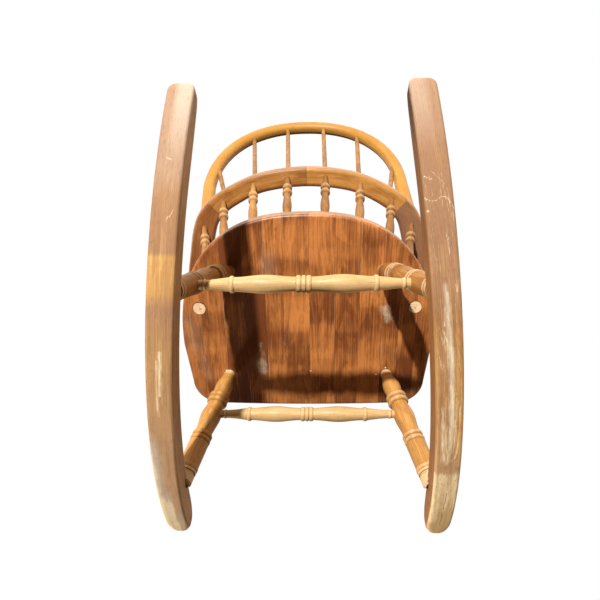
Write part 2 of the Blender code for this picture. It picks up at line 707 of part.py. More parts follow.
def post_ends(side):
    """Give where an arm post's axis meets the seat's underside and the arm's underside."""
    place, _, _ = rail_place(SPINDLE_FIRST + (SPINDLES_PER_SIDE - 1) * SPINDLE_SPACING + POST_SPACING)
    foot = Vector((side * (SEAT_HALF_WIDTH - POST_FOOT_INSET), POST_FOOT_Y, SEAT_UNDERSIDE))
    return foot, Vector((side * place.x, place.y, RAIL_UNDERSIDE))


def build_post(name, foot, top, staves, arm, material, parent):
    """Turn one arm post, wedge it right through the seat, trim it flush below and let it into the arm."""
    length = (top - foot).length
    turning = Turning(POST_TENON_DIAMETER).straight(POST_COLLAR + SEAT_THICKNESS + POST_COLLAR)
    turning.bead(POST_BEAD_LENGTH, POST_BEAD_DIAMETER).step(POST_NECK_DIAMETER)
    vase = length + POST_COLLAR - turning.length - POST_BEAD_LENGTH - POST_TIP_LENGTH
    turning.swell(vase, POST_VASE_DIAMETER, POST_NECK_DIAMETER, POST_VASE_PEAK_RATIO)
    turning.bead(POST_BEAD_LENGTH, POST_UPPER_BEAD_DIAMETER)
    turning.straight(POST_TIP_LENGTH - SPINDLE_COLLAR, POST_TIP_DIAMETER)
    turning.straight(SPINDLE_COLLAR + POST_ARM_DEPTH)
    bm = spun([(station - POST_COLLAR, radius) for station, radius in turning.points], POST_SIDES)
    turn = (top - foot).to_track_quat("Z", "Y").inverted()
    cut_flat(bm, (0, 0, 0), turn @ Vector((0, 0, 1)))
    post = add_object(name, bm, material, parent)
    stand_on(post, foot, top)
    low, high = along(foot, top, -SOCKET_LEAD), along(foot, top, SEAT_THICKNESS + SOCKET_LEAD)
    near = staves_near(staves, (low, high), POST_TENON_DIAMETER)
    drill(near, low, high, POST_TENON_DIAMETER, POST_SIDES)
    drill([arm], along(top, foot, SOCKET_LEAD), along(top, foot, -POST_ARM_DEPTH - FIT_GAP),
          POST_TIP_DIAMETER, POST_SIDES)
    return post


def bow_place(across, height):
    """Give the chair-frame point at a place in the bow's leaning plane."""
    return Vector((across, BOW_FOOT_Y + height * math.sin(BOW_LEAN), RAIL_TOP + height * math.cos(BOW_LEAN)))


def bow_point(side, bearing):
    """Give a point of the bow's centre line, at a bearing from its top about the middle of its spring line."""
    across, up = math.sin(bearing), math.cos(bearing)
    power = BOW_FULLNESS
    reach = ((across / BOW_HALF_SPAN) ** power + (up / BOW_RISE) ** power) ** (-1 / power)
    return bow_place(BOW_SHIFT + side * reach * across, BOW_SPRING + reach * up)


def bow_foot_x(side, height):
    """Give the bow's centre line across, below its spring, where its legs run straight to their feet."""
    spring_x = BOW_SHIFT + side * BOW_HALF_SPAN
    foot_x = side * BOW_FOOT_HALF_SPAN
    return foot_x + (spring_x - foot_x) * height / BOW_SPRING


def bow_path():
    """Give the bow's centre line in its plane, from below the rail on the right to below it on the left."""
    power = 2 / BOW_FULLNESS
    arch = []
    for step in range(BOW_STEPS + 1):
        angle = math.pi * step / BOW_STEPS
        across = math.copysign(abs(math.cos(angle)) ** power, math.cos(angle))
        height = BOW_SPRING + BOW_RISE * max(math.sin(angle), 0.0) ** power
        arch.append((BOW_SHIFT - BOW_HALF_SPAN * across, height))
    low = -BOW_DEPTH
    return [(bow_foot_x(-1, low), low)] + arch + [(bow_foot_x(1, low), low)]


def build_bow(material, parent):
    """Bend the bow of the back and cut its feet to sit on the rail, each with a round tenon."""
    path = [Vector(point) for point in bow_path()]
    normal = Vector((0.0, math.cos(BOW_LEAN), -math.sin(BOW_LEAN)))
    rings = []
    for index, place in enumerate(path):
        ahead = (path[min(index + 1, len(path) - 1)] - path[max(index - 1, 0)]).normalized()
        radial = bow_place(-ahead.y, ahead.x) - bow_place(0.0, 0.0)
        centre = bow_place(*place)
        section = rounded_section(BOW_WIDTH, BOW_DEPTH, BOW_EDGE)
        rings.append([centre + radial * across + normal * deep for across, deep in section])
    bm = swept(rings)
    cut_flat(bm, (0.0, 0.0, RAIL_TOP + FIT_GAP), (0.0, 0.0, 1.0))
    return add_object("back_bow", bm, material, parent)


def seat_bow(bow, arms, parent):
    """Give the bow its two tenons and the arms their sockets."""
    for side, arm in arms.items():
        low = bow_place(bow_foot_x(side, -BOW_TENON_DEPTH), -BOW_TENON_DEPTH)
        high = bow_place(bow_foot_x(side, BOW_DEPTH), BOW_DEPTH)
        tenon = helper_bar("tenon_back_bow", low, high, BOW_TENON_DIAMETER, POST_SIDES, parent)
        combine(bow, tenon, "UNION")
        drill([arm], along(low, high, -FIT_GAP), high, BOW_TENON_DIAMETER, POST_SIDES)


def build_dowel(name, index, side, rail_piece, bow, material, parent):
    """Fit one plain dowel between the rail's top and the inside of the bow."""
    place, _, _ = rail_place(SPINDLE_FIRST + index * SPINDLE_SPACING)
    foot = Vector((side * place.x, place.y, RAIL_TOP))
    top = bow_point(side, DOWEL_BEARINGS[index])
    length = (top - foot).length - DOWEL_SHORT_OF_BOW_AXIS
    radius = DOWEL_DIAMETER / 2
    rod = spun([(-DOWEL_RAIL_DEPTH, radius), (length, radius)], DOWEL_SIDES)
    dowel = add_object(name, rod, material, parent)
    stand_on(dowel, foot, top)
    drill([rail_piece], along(foot, top, -DOWEL_RAIL_DEPTH - FIT_GAP), along(foot, top, SOCKET_LEAD),
          DOWEL_DIAMETER, DOWEL_SIDES)
    drill([bow], along(foot, top, length / 2), along(foot, top, length + FIT_GAP),
          DOWEL_DIAMETER, DOWEL_SIDES)
    return dowel


def rest_on_floor(frame):
    """Lean the chair back on its rockers and centre its footprint on the origin."""
    hub_height = ROCKER_RADIUS * math.cos(ROCKER_FACET / 2)
    frame.rotation_euler = (-SEAT_TILT, 0.0, 0.0)
    hub = frame.rotation_euler.to_matrix() @ Vector((0.0, 0.0, ROCKER_RADIUS))
    frame.location = Vector((0.0, 0.0, hub_height)) - hub
    bpy.context.view_layer.update()
    depsgraph = bpy.context.evaluated_depsgraph_get()
    reach = []
    for piece in frame.children:
        if not piece.hide_render:
            shape = piece.evaluated_get(depsgraph)
            reach += [(shape.matrix_world @ Vector(corner)).y for corner in exact_corners(shape)]
    frame.location.y -= (min(reach) + max(reach)) / 2
    bpy.context.view_layer.update()


def exact_corners(shape):
    """Give the points of an evaluated piece."""
    return [vert.co for vert in shape.data.vertices]


def main():
    """Build the whole chair."""
    clear_scene()
    frame = bpy.data.objects.new("chair_frame", None)
    bpy.context.scene.collection.objects.link(frame)
    rocker_wood = wood("worn_rocker_oak", (0.46, 0.29, 0.14), 0.62)
    leg_wood = wood("leg_oak", (0.50, 0.27, 0.09), 0.45)
    stretcher_wood = wood("stretcher_oak", (0.66, 0.44, 0.20), 0.45)
    seat_wood = wood("seat_oak", (0.38, 0.16, 0.05), 0.50)
    spindle_wood = wood("spindle_oak", (0.52, 0.34, 0.15), 0.50)
    rail_wood = wood("rail_oak", (0.45, 0.22, 0.07), 0.45)
    arm_wood = wood("arm_oak", (0.28, 0.11, 0.04), 0.45)
    bow_wood = wood("bow_oak", (0.62, 0.33, 0.08), 0.40)

    staves = build_seat(seat_wood, frame)
    rockers = {}
    envelopes = {}
    for word, side in SIDES.items():
        name = f"rocker_{word}"
        rockers[side] = add_object(name, rocker_shape(side), rocker_wood, frame)
        envelopes[side] = rocker_envelope(name, side, frame)
    for end, front in (("front", True), ("rear", False)):
        legs = {}
        for word, side in SIDES.items():
            foot, top = leg_line(front, side)
            legs[side] = build_leg(f"leg_{end}_{word}", foot, top, rockers[side], envelopes[side], staves,
                                   leg_wood, frame)
        drop = STRETCHER_FRONT_DROP if front else STRETCHER_REAR_DROP
        build_stretcher(f"stretcher_{end}", leg_line(front, 1), drop, legs, stretcher_wood, frame)

    backs = {}
    for word, side in SIDES.items():
        backs[side] = build_rail_back(f"arm_rail_back_{word}", side, rail_wood, frame)
    arms = {side: build_arm(f"arm_{word}", side, arm_wood, frame) for word, side in SIDES.items()}
    bow = build_bow(bow_wood, frame)
    for word, side in SIDES.items():
        for index in range(SPINDLES_PER_SIDE):
            foot, top = spindle_ends(index, side)
            beyond_joint = SPINDLE_FIRST + index * SPINDLE_SPACING > RAIL_JOINT
            carrier = arms[side] if beyond_joint else backs[side]
            build_spindle(f"arm_spindle_{word}_{index + 1}", foot, top, staves, carrier, spindle_wood, frame)
        foot, top = post_ends(side)
        build_post(f"arm_post_{word}", foot, top, staves, arms[side], spindle_wood, frame)
        for index in range(len(DOWEL_BEARINGS)):
            build_dowel(f"back_dowel_{word}_{index + 1}", index, side, backs[side], bow, spindle_wood, frame)
    seat_bow(bow, arms, frame)
    rest_on_floor(frame)


if __name__ == "__main__":
    main()
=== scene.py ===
"""Looks of a spindle-back rocking chair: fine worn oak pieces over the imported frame, studio and camera.

Lengths are in metres. Pieces are shaped in the chair frame, with X to the sitter's left, Y to the rear and
Z up, square to the seat. The chair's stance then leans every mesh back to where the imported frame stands.
"""

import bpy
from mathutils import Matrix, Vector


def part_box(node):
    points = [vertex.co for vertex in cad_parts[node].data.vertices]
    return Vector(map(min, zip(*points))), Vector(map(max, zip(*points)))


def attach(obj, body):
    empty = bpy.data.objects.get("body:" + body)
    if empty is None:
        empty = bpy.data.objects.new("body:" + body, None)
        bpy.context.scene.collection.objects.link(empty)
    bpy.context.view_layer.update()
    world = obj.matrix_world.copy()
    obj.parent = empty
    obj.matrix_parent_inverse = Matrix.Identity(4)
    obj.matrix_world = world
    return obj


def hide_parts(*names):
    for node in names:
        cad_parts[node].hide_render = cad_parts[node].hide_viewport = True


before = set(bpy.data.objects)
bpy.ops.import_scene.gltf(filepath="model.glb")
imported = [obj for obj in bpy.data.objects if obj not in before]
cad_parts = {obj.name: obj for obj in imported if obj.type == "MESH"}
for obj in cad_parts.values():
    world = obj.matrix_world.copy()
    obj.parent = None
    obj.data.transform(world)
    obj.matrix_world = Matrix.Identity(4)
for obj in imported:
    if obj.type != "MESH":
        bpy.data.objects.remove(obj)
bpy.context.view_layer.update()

import logging
import math
from dataclasses import dataclass, field
from enum import Enum

import bmesh
import bpy
import numpy as np
from mathutils import Euler, Matrix, Vector
from mathutils.bvhtree import BVHTree

LOG = logging.getLogger("rocking_chair")
BODY = "root"
SMOOTH_ANGLE = math.radians(38)
SEAT_UNDERSIDE = 0.3273
# Largest corner radius of a section, as a share of its smaller side
LARGEST_EDGE = 0.48
# Width of one ring of the wave texture at a scale of 1
WAVE_RING_WIDTH = 0.31416
Colour = tuple[float, float, float]
Place2 = tuple[float, float]
Place3 = tuple[float, float, float]
Feed = bpy.types.NodeSocket | bpy.types.Object | float | tuple | str | bool


class Paint(Enum):
    """Point attributes that the oak finishes read."""

    WOOD = "wood"
    TONE = "tone"
    WORN = "worn"
    # Pale scuffs and worn wood, and a painted glint along the middle of each rocker's running face
    PALE = "pale"
    # Soiling, and also painted shade and painted shadows, as on the seat's underside and the bow's inner edge
    GRIME = "grime"
    WARM = "warm"
    # Colour gone pale with age, and a painted sheen on the left rocker's rear end and the leftmost seat stave
    FADE = "fade"


class Side(Enum):
    """The sitter's two sides, as the sign of X."""

    LEFT = 1
    RIGHT = -1

    @property
    def word(self) -> str:
        """Name the side as the nodes do."""
        return self.name.lower()


@dataclass(frozen=True)
class Stance:
    """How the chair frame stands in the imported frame: leaning back on its rockers."""

    tilt: float = math.radians(7.4)
    offset: Place3 = (0.0, -0.089932, 0.005912)

    @property
    def matrix(self) -> Matrix:
        """Give the chair frame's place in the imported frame."""
        return Matrix.Translation(self.offset) @ Euler((-self.tilt, 0.0, 0.0)).to_matrix().to_4x4()

    def point(self, place: Vector) -> Vector:
        """Give a chair-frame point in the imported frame."""
        return self.matrix @ Vector(place)

    def direction(self, way: Vector) -> Vector:
        """Give a chair-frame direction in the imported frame."""
        return self.matrix.to_3x3() @ Vector(way)

    def points(self, places: np.ndarray) -> np.ndarray:
        """Give an array of chair-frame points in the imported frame."""
        matrix = np.array(self.matrix)
        return places @ matrix[:3, :3].T + matrix[:3, 3]


STANCE = Stance()


class NodeBench:
    """Small helper that adds and joins nodes in one tree."""

    def __init__(self, tree: bpy.types.NodeTree) -> None:
        """Keep the tree.

        Args:
            tree: The node tree to add to.
        """
        self.tree = tree

    def add(self, kind: str, inputs: dict[str | int, Feed] | None = None,
            **settings: str | bpy.types.NodeTree) -> bpy.types.Node:
        """Add one node.

        Args:
            kind: The node's type name.
            inputs: What goes into its sockets, by name or number: a value, or a socket to link from.
            settings: Properties of the node.

        Returns:
            The new node.
        """
        node = self.tree.nodes.new(kind)
        for name, value in settings.items():
            setattr(node, name, value)
        for key, value in (inputs or {}).items():
            self.feed(node.inputs[key], value)
        return node

    def feed(self, socket: bpy.types.NodeSocket, value: Feed) -> None:
        """Link a socket to an output, or set its value.

        Args:
            socket: The input socket.
            value: An output socket, or a plain value.
        """
        if isinstance(value, bpy.types.NodeSocket):
            self.tree.links.new(value, socket)
        else:
            socket.default_value = value

    def math(self, operation: str, first: Feed, second: Feed = 0.0) -> bpy.types.NodeSocket:
        """Add a math node and give its output."""
        return self.add("ShaderNodeMath", {0: first, 1: second}, operation=operation).outputs[0]

    def scaled(self, vector: Feed, scale: Feed) -> bpy.types.NodeSocket:
        """Multiply a vector by three numbers and give the result."""
        return self.add("ShaderNodeVectorMath", {0: vector, 1: scale}, operation="MULTIPLY").outputs[0]

    def noise(self, vector: Feed, scale: float, detail: float, roughness: float = 0.5,
              distortion: float = 0.0) -> bpy.types.NodeSocket:
        """Add a noise texture and give its value."""
        inputs = {"Vector": vector, "Scale": scale, "Detail": detail, "Roughness": roughness,
                  "Distortion": distortion}
        return self.add("ShaderNodeTexNoise", inputs).outputs[0]

    def ramp(self, value: Feed, low: float, high: float) -> bpy.types.NodeSocket:
        """Rise smoothly from 0 at low to 1 at high."""
        inputs = {"Value": value, "From Min": low, "From Max": high}
        return self.add("ShaderNodeMapRange", inputs, interpolation_type="SMOOTHSTEP").outputs[0]

    def mix(self, factor: Feed, first: Feed, second: Feed, blend: str = "MIX") -> bpy.types.NodeSocket:
        """Mix two colours and give the result."""
        inputs = {0: factor, 6: first, 7: second}
        return self.add("ShaderNodeMix", inputs, data_type="RGBA", blend_type=blend).outputs[2]

    def attribute(self, paint: Paint) -> bpy.types.Node:
        """Add a node that reads one of the piece's painted attributes."""
        return self.add("ShaderNodeAttribute", attribute_name=paint.value)

    def mask(self, paint: Paint) -> bpy.types.NodeSocket:
        """Give the value of one of the piece's painted attributes."""
        return self.attribute(paint).outputs["Fac"]

    def along_grain(self, place: Feed, share: float) -> bpy.types.NodeSocket:
        """Draw a pattern out along the board, by scaling only its Z."""
        return self.scaled(place, (1.0, 1.0, share))

    def named(self, name: str, kind: str = "FLOAT_VECTOR") -> bpy.types.NodeSocket:
        """Read an attribute of the geometry by its name."""
        return self.add("GeometryNodeInputNamedAttribute", {"Name": name}, data_type=kind).outputs[0]

    def store(self, geometry: Feed, name: str, value: Feed, domain: str = "POINT") -> bpy.types.NodeSocket:
        """Store a vector on the geometry by its name and give the geometry on."""
        fed = {"Geometry": geometry, "Name": name, "Value": value}
        return self.add("GeometryNodeStoreNamedAttribute", fed, data_type="FLOAT_VECTOR",
                        domain=domain).outputs[0]


def group_sockets(tree: bpy.types.NodeTree, inputs: dict[str, str], outputs: dict[str, str]) -> tuple:
    """Give a node group its named sockets.

    Args:
        tree: The group's tree.
        inputs: Socket types by input name.
        outputs: Socket types by output name.

    Returns:
        The outputs of the group's input node and the inputs of its output node.
    """
    for way, sockets in (("INPUT", inputs), ("OUTPUT", outputs)):
        for name, kind in sockets.items():
            tree.interface.new_socket(name, in_out=way, socket_type=kind)
    return tree.nodes.new("NodeGroupInput").outputs, tree.nodes.new("NodeGroupOutput").inputs


class OakShading:
    """The shader groups that every oak finish shares."""

    def __init__(self) -> None:
        """Build both groups."""
        self.grain = self.grain_group()
        self.patina = self.patina_group()

    @staticmethod
    def grain_group() -> bpy.types.NodeTree:
        """Build the grain: growth rings, streaks, fibres and pores that run along the board's Z.

        Returns:
            A group that turns a place in the board into a tone, a pore mask and a height.
        """
        tree = bpy.data.node_groups.new("oak_grain", "ShaderNodeTree")
        value = "NodeSocketFloat"
        inputs = {"Place": "NodeSocketVector"}
        inputs |= dict.fromkeys(("Ring Width", "Figure", "Streak", "Mottle"), value)
        given, result = group_sockets(tree, inputs, dict.fromkeys(("Tone", "Pores", "Height"), value))
        bench = NodeBench(tree)
        place = given["Place"]
        drift = bench.noise(bench.scaled(place, (9.0, 9.0, 1.5)), scale=1.0, detail=2.0)
        sway = bench.math("MULTIPLY", given["Figure"], 0.03)
        wander = bench.math("MULTIPLY", bench.math("SUBTRACT", drift, 0.5), sway)
        bent = bench.add("ShaderNodeVectorMath", {0: place, 1: wander}, operation="ADD").outputs[0]
        waves = {"Vector": bent, "Scale": bench.math("DIVIDE", WAVE_RING_WIDTH, given["Ring Width"])}
        rings = bench.add("ShaderNodeTexWave", waves, wave_type="RINGS", rings_direction="Z",
                          wave_profile="SAW").outputs[1]
        streaks = bench.noise(bench.along_grain(bent, 0.030), scale=260.0, detail=3.0, roughness=0.6)
        fibres = bench.noise(bench.along_grain(place, 0.025), scale=900.0, detail=2.0, roughness=0.6)
        pits = bench.noise(bench.along_grain(place, 0.055), scale=1500.0, detail=1.0)
        pores = bench.ramp(pits, 0.60, 0.74)
        clouds = bench.noise(bench.along_grain(place, 0.30), scale=24.0, detail=3.0)
        flecks = bench.noise(bench.along_grain(bent, 0.18), scale=110.0, detail=4.0, roughness=0.62)
        patches = bench.noise(bench.along_grain(bent, 0.30), scale=36.0, detail=3.0, roughness=0.55,
                              distortion=0.6)
        blotches = bench.ramp(patches, 0.46, 0.54)
        flames = bench.noise(bench.scaled(bent, (0.35, 0.35, 1.5)), scale=60.0, detail=3.0, roughness=0.6)
        tone = 0.5
        shares = ((rings, 0.30, "Streak"), (streaks, 1.20, "Streak"), (fibres, 0.50, "Streak"),
                  (clouds, 0.40, "Mottle"), (flecks, 0.55, "Mottle"), (blotches, 0.16, "Mottle"),
                  (flames, 0.14, "Mottle"))
        for part, weight, name in shares:
            share = bench.math("MULTIPLY", bench.math("SUBTRACT", part, 0.5), weight)
            tone = bench.math("ADD", bench.math("MULTIPLY", share, given[name]), tone)
        bench.feed(result["Tone"], tone)
        bench.feed(result["Pores"], pores)
        rough = bench.math("ADD", bench.math("MULTIPLY", streaks, 0.6), bench.math("MULTIPLY", fibres, 0.5))
        bench.feed(result["Height"], bench.math("SUBTRACT", rough, bench.math("MULTIPLY", pores, 0.7)))
        return tree

    @staticmethod
    def patina_group() -> bpy.types.NodeTree:
        """Build the patina: varnish worn through to bare wood, pale scuffs and painted glints, soiling and
        painted shade.

        Returns:
            A group that turns a varnished colour and painted masks into a colour and a roughness.
        """
        tree = bpy.data.node_groups.new("worn_patina", "ShaderNodeTree")
        value, colour = "NodeSocketFloat", "NodeSocketColor"
        inputs = {"Place": "NodeSocketVector"}
        inputs |= dict.fromkeys(("Varnish", "Bare", "Bleached", "Dirt"), colour)
        inputs |= dict.fromkeys(("Worn", "Pale", "Grime", "Tone", "Gloss", "Shortness"), value)
        given, result = group_sockets(tree, inputs, {"Color": colour, "Roughness": value})
        bench = NodeBench(tree)
        drawn_out = bench.add("ShaderNodeCombineXYZ", {0: 1.0, 1: 1.0, 2: given["Shortness"]}).outputs[0]
        drawn = bench.scaled(given["Place"], drawn_out)
        coarse = bench.noise(drawn, scale=120.0, detail=4.0, roughness=0.68)
        fine = bench.noise(bench.along_grain(drawn, 2.0), scale=420.0, detail=3.0, roughness=0.7)
        ragged = bench.math("ADD", bench.math("MULTIPLY", coarse, 0.7), bench.math("MULTIPLY", fine, 0.5))
        spread = bench.math("SUBTRACT", ragged, 0.6)
        masks = []
        for name, reach in (("Worn", 1.0), ("Pale", 1.3), ("Grime", 0.9)):
            edge = bench.math("ADD", given[name], bench.math("MULTIPLY", spread, reach))
            present = bench.ramp(given[name], 0.0, 0.12)
            masks.append(bench.math("MULTIPLY", bench.ramp(edge, 0.22, 0.82), present))
        worn, pale, grime = masks
        lit = bench.math("ADD", bench.math("MULTIPLY", given["Tone"], 0.5), 0.75)
        bare = bench.mix(1.0, given["Bare"], lit, "MULTIPLY")
        bleached = bench.mix(1.0, given["Bleached"], lit, "MULTIPLY")
        shade = bench.mix(pale, bench.mix(worn, given["Varnish"], bare), bleached)
        bench.feed(result["Color"], bench.mix(bench.math("MULTIPLY", grime, 0.88), shade, given["Dirt"]))
        rough = given["Gloss"]
        uneven = bench.math("SUBTRACT", fine, 0.5)
        for part, weight in ((worn, 0.16), (pale, 0.20), (grime, 0.12), (uneven, 0.22)):
            rough = bench.math("ADD", rough, bench.math("MULTIPLY", part, weight))
        bench.feed(result["Roughness"], rough)
        return tree


@dataclass(frozen=True)
class OakFinish:
    """One oak finish: its colours in linear light, its grain and its gloss."""

    name: str
    dark: Colour
    light: Colour
    bare: Colour
    warm: Colour = (1.0, 1.0, 1.0)
    # Colour of pale scuffs, also used on the rockers for a painted glint
    bleached: Colour = (0.62, 0.47, 0.31)
    # Colour gone pale with age, also used for painted sheen
    faded: Colour = (0.48, 0.34, 0.23)
    # Colour of soiling in pores and grooves, also used for painted shade and painted shadows
    dirt: Colour = (0.035, 0.018, 0.010)
    pore_dirt: float = 0.45
    tone_run: Place2 = (0.05, 0.95)
    ring_width: float = 0.0035
    figure: float = 1.0
    streak: float = 0.6
    mottle: float = 0.6
    wear_shortness: float = 0.22
    gloss: float = 0.42
    shine: float = 0.18
    coat: float = 0.06
    coat_roughness: float = 0.30
    relief: float = 0.35
    relief_depth: float = 0.0007

    def material(self, shading: OakShading) -> bpy.types.Material:
        """Build the finish's material.

        Args:
            shading: The shared shader groups.

        Returns:
            The material.
        """
        material = bpy.data.materials.new(self.name)
        material.use_nodes = True
        bench = NodeBench(material.node_tree)
        place = bench.attribute(Paint.WOOD).outputs["Vector"]
        fed = {"Place": place, "Ring Width": self.ring_width, "Figure": self.figure, "Streak": self.streak,
               "Mottle": self.mottle}
        grain = bench.add("ShaderNodeGroup", fed, node_tree=shading.grain).outputs
        tone = bench.math("ADD", grain["Tone"], bench.mask(Paint.TONE))
        colour = bench.mix(bench.ramp(tone, *self.tone_run), (*self.dark, 1.0), (*self.light, 1.0))
        colour = bench.mix(bench.mask(Paint.WARM), colour, (*self.warm, 1.0), "MULTIPLY")
        colour = bench.mix(bench.mask(Paint.FADE), colour, (*self.faded, 1.0))
        colour = bench.mix(bench.math("MULTIPLY", grain["Pores"], self.pore_dirt), colour, (*self.dirt, 1.0))
        fed = {"Place": place, "Varnish": colour, "Tone": tone, "Gloss": self.gloss,
               "Shortness": self.wear_shortness}
        for name, shade in (("Bare", self.bare), ("Bleached", self.bleached), ("Dirt", self.dirt)):
            fed[name] = (*shade, 1.0)
        for paint in (Paint.WORN, Paint.PALE, Paint.GRIME):
            fed[paint.name.title()] = bench.mask(paint)
        patina = bench.add("ShaderNodeGroup", fed, node_tree=shading.patina).outputs
        fed = {"Strength": self.relief, "Distance": self.relief_depth, "Height": grain["Height"]}
        bump = bench.add("ShaderNodeBump", fed).outputs
        fed = {"Base Color": patina["Color"], "Roughness": patina["Roughness"], "Normal": bump["Normal"],
               "Specular IOR Level": self.shine, "Coat Weight": self.coat,
               "Coat Roughness": self.coat_roughness}
        shader = material.node_tree.nodes["Principled BSDF"]
        for name, value in fed.items():
            bench.feed(shader.inputs[name], value)
        return material


class Finish(Enum):
    """The finishes of the chair, each named by its slot in the record."""

    # The rockers' two pale colours also paint a glint along their running faces and a sheen on the left
    # rocker's rear end
    ROCKER = OakFinish("rocker_oak", dark=(0.258, 0.113, 0.042), light=(0.560, 0.297, 0.120),
                       bare=(0.58, 0.39, 0.19), warm=(1.55, 1.62, 1.02), bleached=(0.92, 0.735, 0.46),
                       faded=(0.57, 0.465, 0.36), gloss=0.55, ring_width=0.0026, wear_shortness=0.07,
                       shine=0.10, coat=0.0)
    LEG = OakFinish("leg_oak", dark=(0.26, 0.108, 0.028), light=(0.58, 0.288, 0.070),
                    bare=(0.58, 0.39, 0.205), gloss=0.40, coat=0.15, streak=0.5, mottle=0.8)
    STRETCHER = OakFinish("stretcher_oak", dark=(0.42, 0.24, 0.085), light=(0.66, 0.43, 0.195),
                          bare=(0.68, 0.45, 0.22), figure=0.6, streak=0.35)
    SEAT = OakFinish("seat_oak", dark=(0.17, 0.046, 0.011), light=(0.60, 0.215, 0.052),
                     bare=(0.36, 0.235, 0.13), bleached=(0.68, 0.50, 0.32), gloss=0.40, ring_width=0.0042,
                     figure=1.4, streak=0.64, mottle=1.0, wear_shortness=0.55, shine=0.45)
    SPINDLE = OakFinish("spindle_oak", dark=(0.21, 0.088, 0.024), light=(0.43, 0.208, 0.062),
                        bare=(0.45, 0.265, 0.115), bleached=(0.80, 0.55, 0.33), gloss=0.46, streak=0.4,
                        mottle=1.4)
    RAIL = OakFinish("rail_oak", dark=(0.23, 0.078, 0.015), light=(0.57, 0.268, 0.064),
                     bare=(0.38, 0.225, 0.13), streak=0.45, mottle=1.0)
    ARM = OakFinish("arm_oak", dark=(0.15, 0.045, 0.013), light=(0.41, 0.155, 0.045),
                    bare=(0.50, 0.31, 0.17), streak=0.35, mottle=0.7)
    BOW = OakFinish("bow_oak", dark=(0.36, 0.150, 0.022), light=(0.58, 0.285, 0.055),
                    bare=(0.48, 0.31, 0.16), gloss=0.40, figure=0.6, streak=0.25)

    @property
    def slot(self) -> str:
        """Name the record's slot."""
        return self.value.name


def linked_object(name: str, data: bpy.types.ID) -> bpy.types.Object:
    """Make an object and link it to the scene.

    Args:
        name: The object's name.
        data: Its mesh, light or camera.

    Returns:
        The object.
    """
    item = bpy.data.objects.new(name, data)
    bpy.context.scene.collection.objects.link(item)
    return item


class Workshop:
    """Turns meshes into finished pieces of the chair."""

    def __init__(self) -> None:
        """Mix the finishes."""
        shading = OakShading()
        self.materials = {finish: finish.value.material(shading) for finish in Finish}

    def finish_piece(self, name: str, mesh: bpy.types.Mesh, finish: Finish,
                     nodes: tuple[str, ...] = ()) -> None:
        """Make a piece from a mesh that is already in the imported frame.

        Args:
            name: The piece's name, without its wood.
            mesh: Its mesh, painted.
            finish: Its finish.
            nodes: The CAD nodes that it stands for, if it is not the one of its own name.
        """
        nodes = nodes or (name,)
        mesh.materials.clear()
        mesh.materials.append(self.materials[finish])
        mesh.shade_smooth()
        mesh.set_sharp_from_angle(angle=SMOOTH_ANGLE)
        piece = linked_object(f"{name}_oak", mesh)
        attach(piece, BODY)
        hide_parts(*nodes)
        LOG.info("%s: %d faces, %s, off its solids by %.1f mm", name, len(mesh.polygons), finish.slot,
                 1000 * self.misfit(mesh, nodes))

    @staticmethod
    def misfit(mesh: bpy.types.Mesh, nodes: tuple[str, ...]) -> float:
        """Compare a mesh's box with the box of the nodes that it stands for.

        Args:
            mesh: The mesh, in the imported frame.
            nodes: The CAD nodes.

        Returns:
            The largest difference between the two boxes.
        """
        places = np.array([vert.co for vert in mesh.vertices])
        boxes = [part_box(node) for node in nodes]
        low = np.min([box[0] for box in boxes], axis=0)
        high = np.max([box[1] for box in boxes], axis=0)
        return float(max(np.abs(places.min(0) - low).max(), np.abs(places.max(0) - high).max()))


def store_layer(mesh: bpy.types.Mesh, name: str, values: np.ndarray, vector: bool = False) -> None:
    """Store an attribute on a mesh's points.

    Args:
        mesh: The mesh.
        name: The attribute's name.
        values: One value for every point, or three where it is a vector.
        vector: Whether it is a vector.
    """
    kind, key = ("FLOAT_VECTOR", "vector") if vector else ("FLOAT", "value")
    layer = mesh.attributes.new(name, kind, "POINT")
    layer.data.foreach_set(key, np.ascontiguousarray(values, np.float32).ravel())


def paint_mesh(mesh: bpy.types.Mesh, channels: dict[Paint, np.ndarray]) -> None:
    """Store every painted channel on a mesh's points."""
    for paint, values in channels.items():
        store_layer(mesh, paint.value, values, paint is Paint.WOOD)


def outward(mesh: bpy.types.Mesh) -> None:
    """Point a closed mesh's faces outwards.

    Args:
        mesh: The mesh.
    """
    bm = bmesh.new()
    bm.from_mesh(mesh)
    bmesh.ops.recalc_face_normals(bm, faces=bm.faces)
    bm.to_mesh(mesh)
    bm.free()


def loft(name: str, rings: np.ndarray, channels: dict[Paint, np.ndarray]) -> bpy.types.Mesh:
    """Loft a closed body through rings of points, with flat ends.

    Args:
        name: The mesh's name.
        rings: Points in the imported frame, as rings by points by three.
        channels: Painted values, as rings by points.

    Returns:
        The mesh.
    """
    count, size = rings.shape[:2]
    index = np.arange(count * size).reshape(count, size)
    after = np.roll(index, -1, axis=1)
    quads = np.stack([index[:-1], after[:-1], after[1:], index[1:]], axis=-1).reshape(-1, 4)
    faces = quads.tolist() + [index[0].tolist(), index[-1].tolist()]
    mesh = bpy.data.meshes.new(name)
    mesh.from_pydata(rings.reshape(-1, 3).tolist(), [], faces)
    outward(mesh)
    paint_mesh(mesh, {paint: values.reshape(count * size, -1) for paint, values in channels.items()})
    return mesh


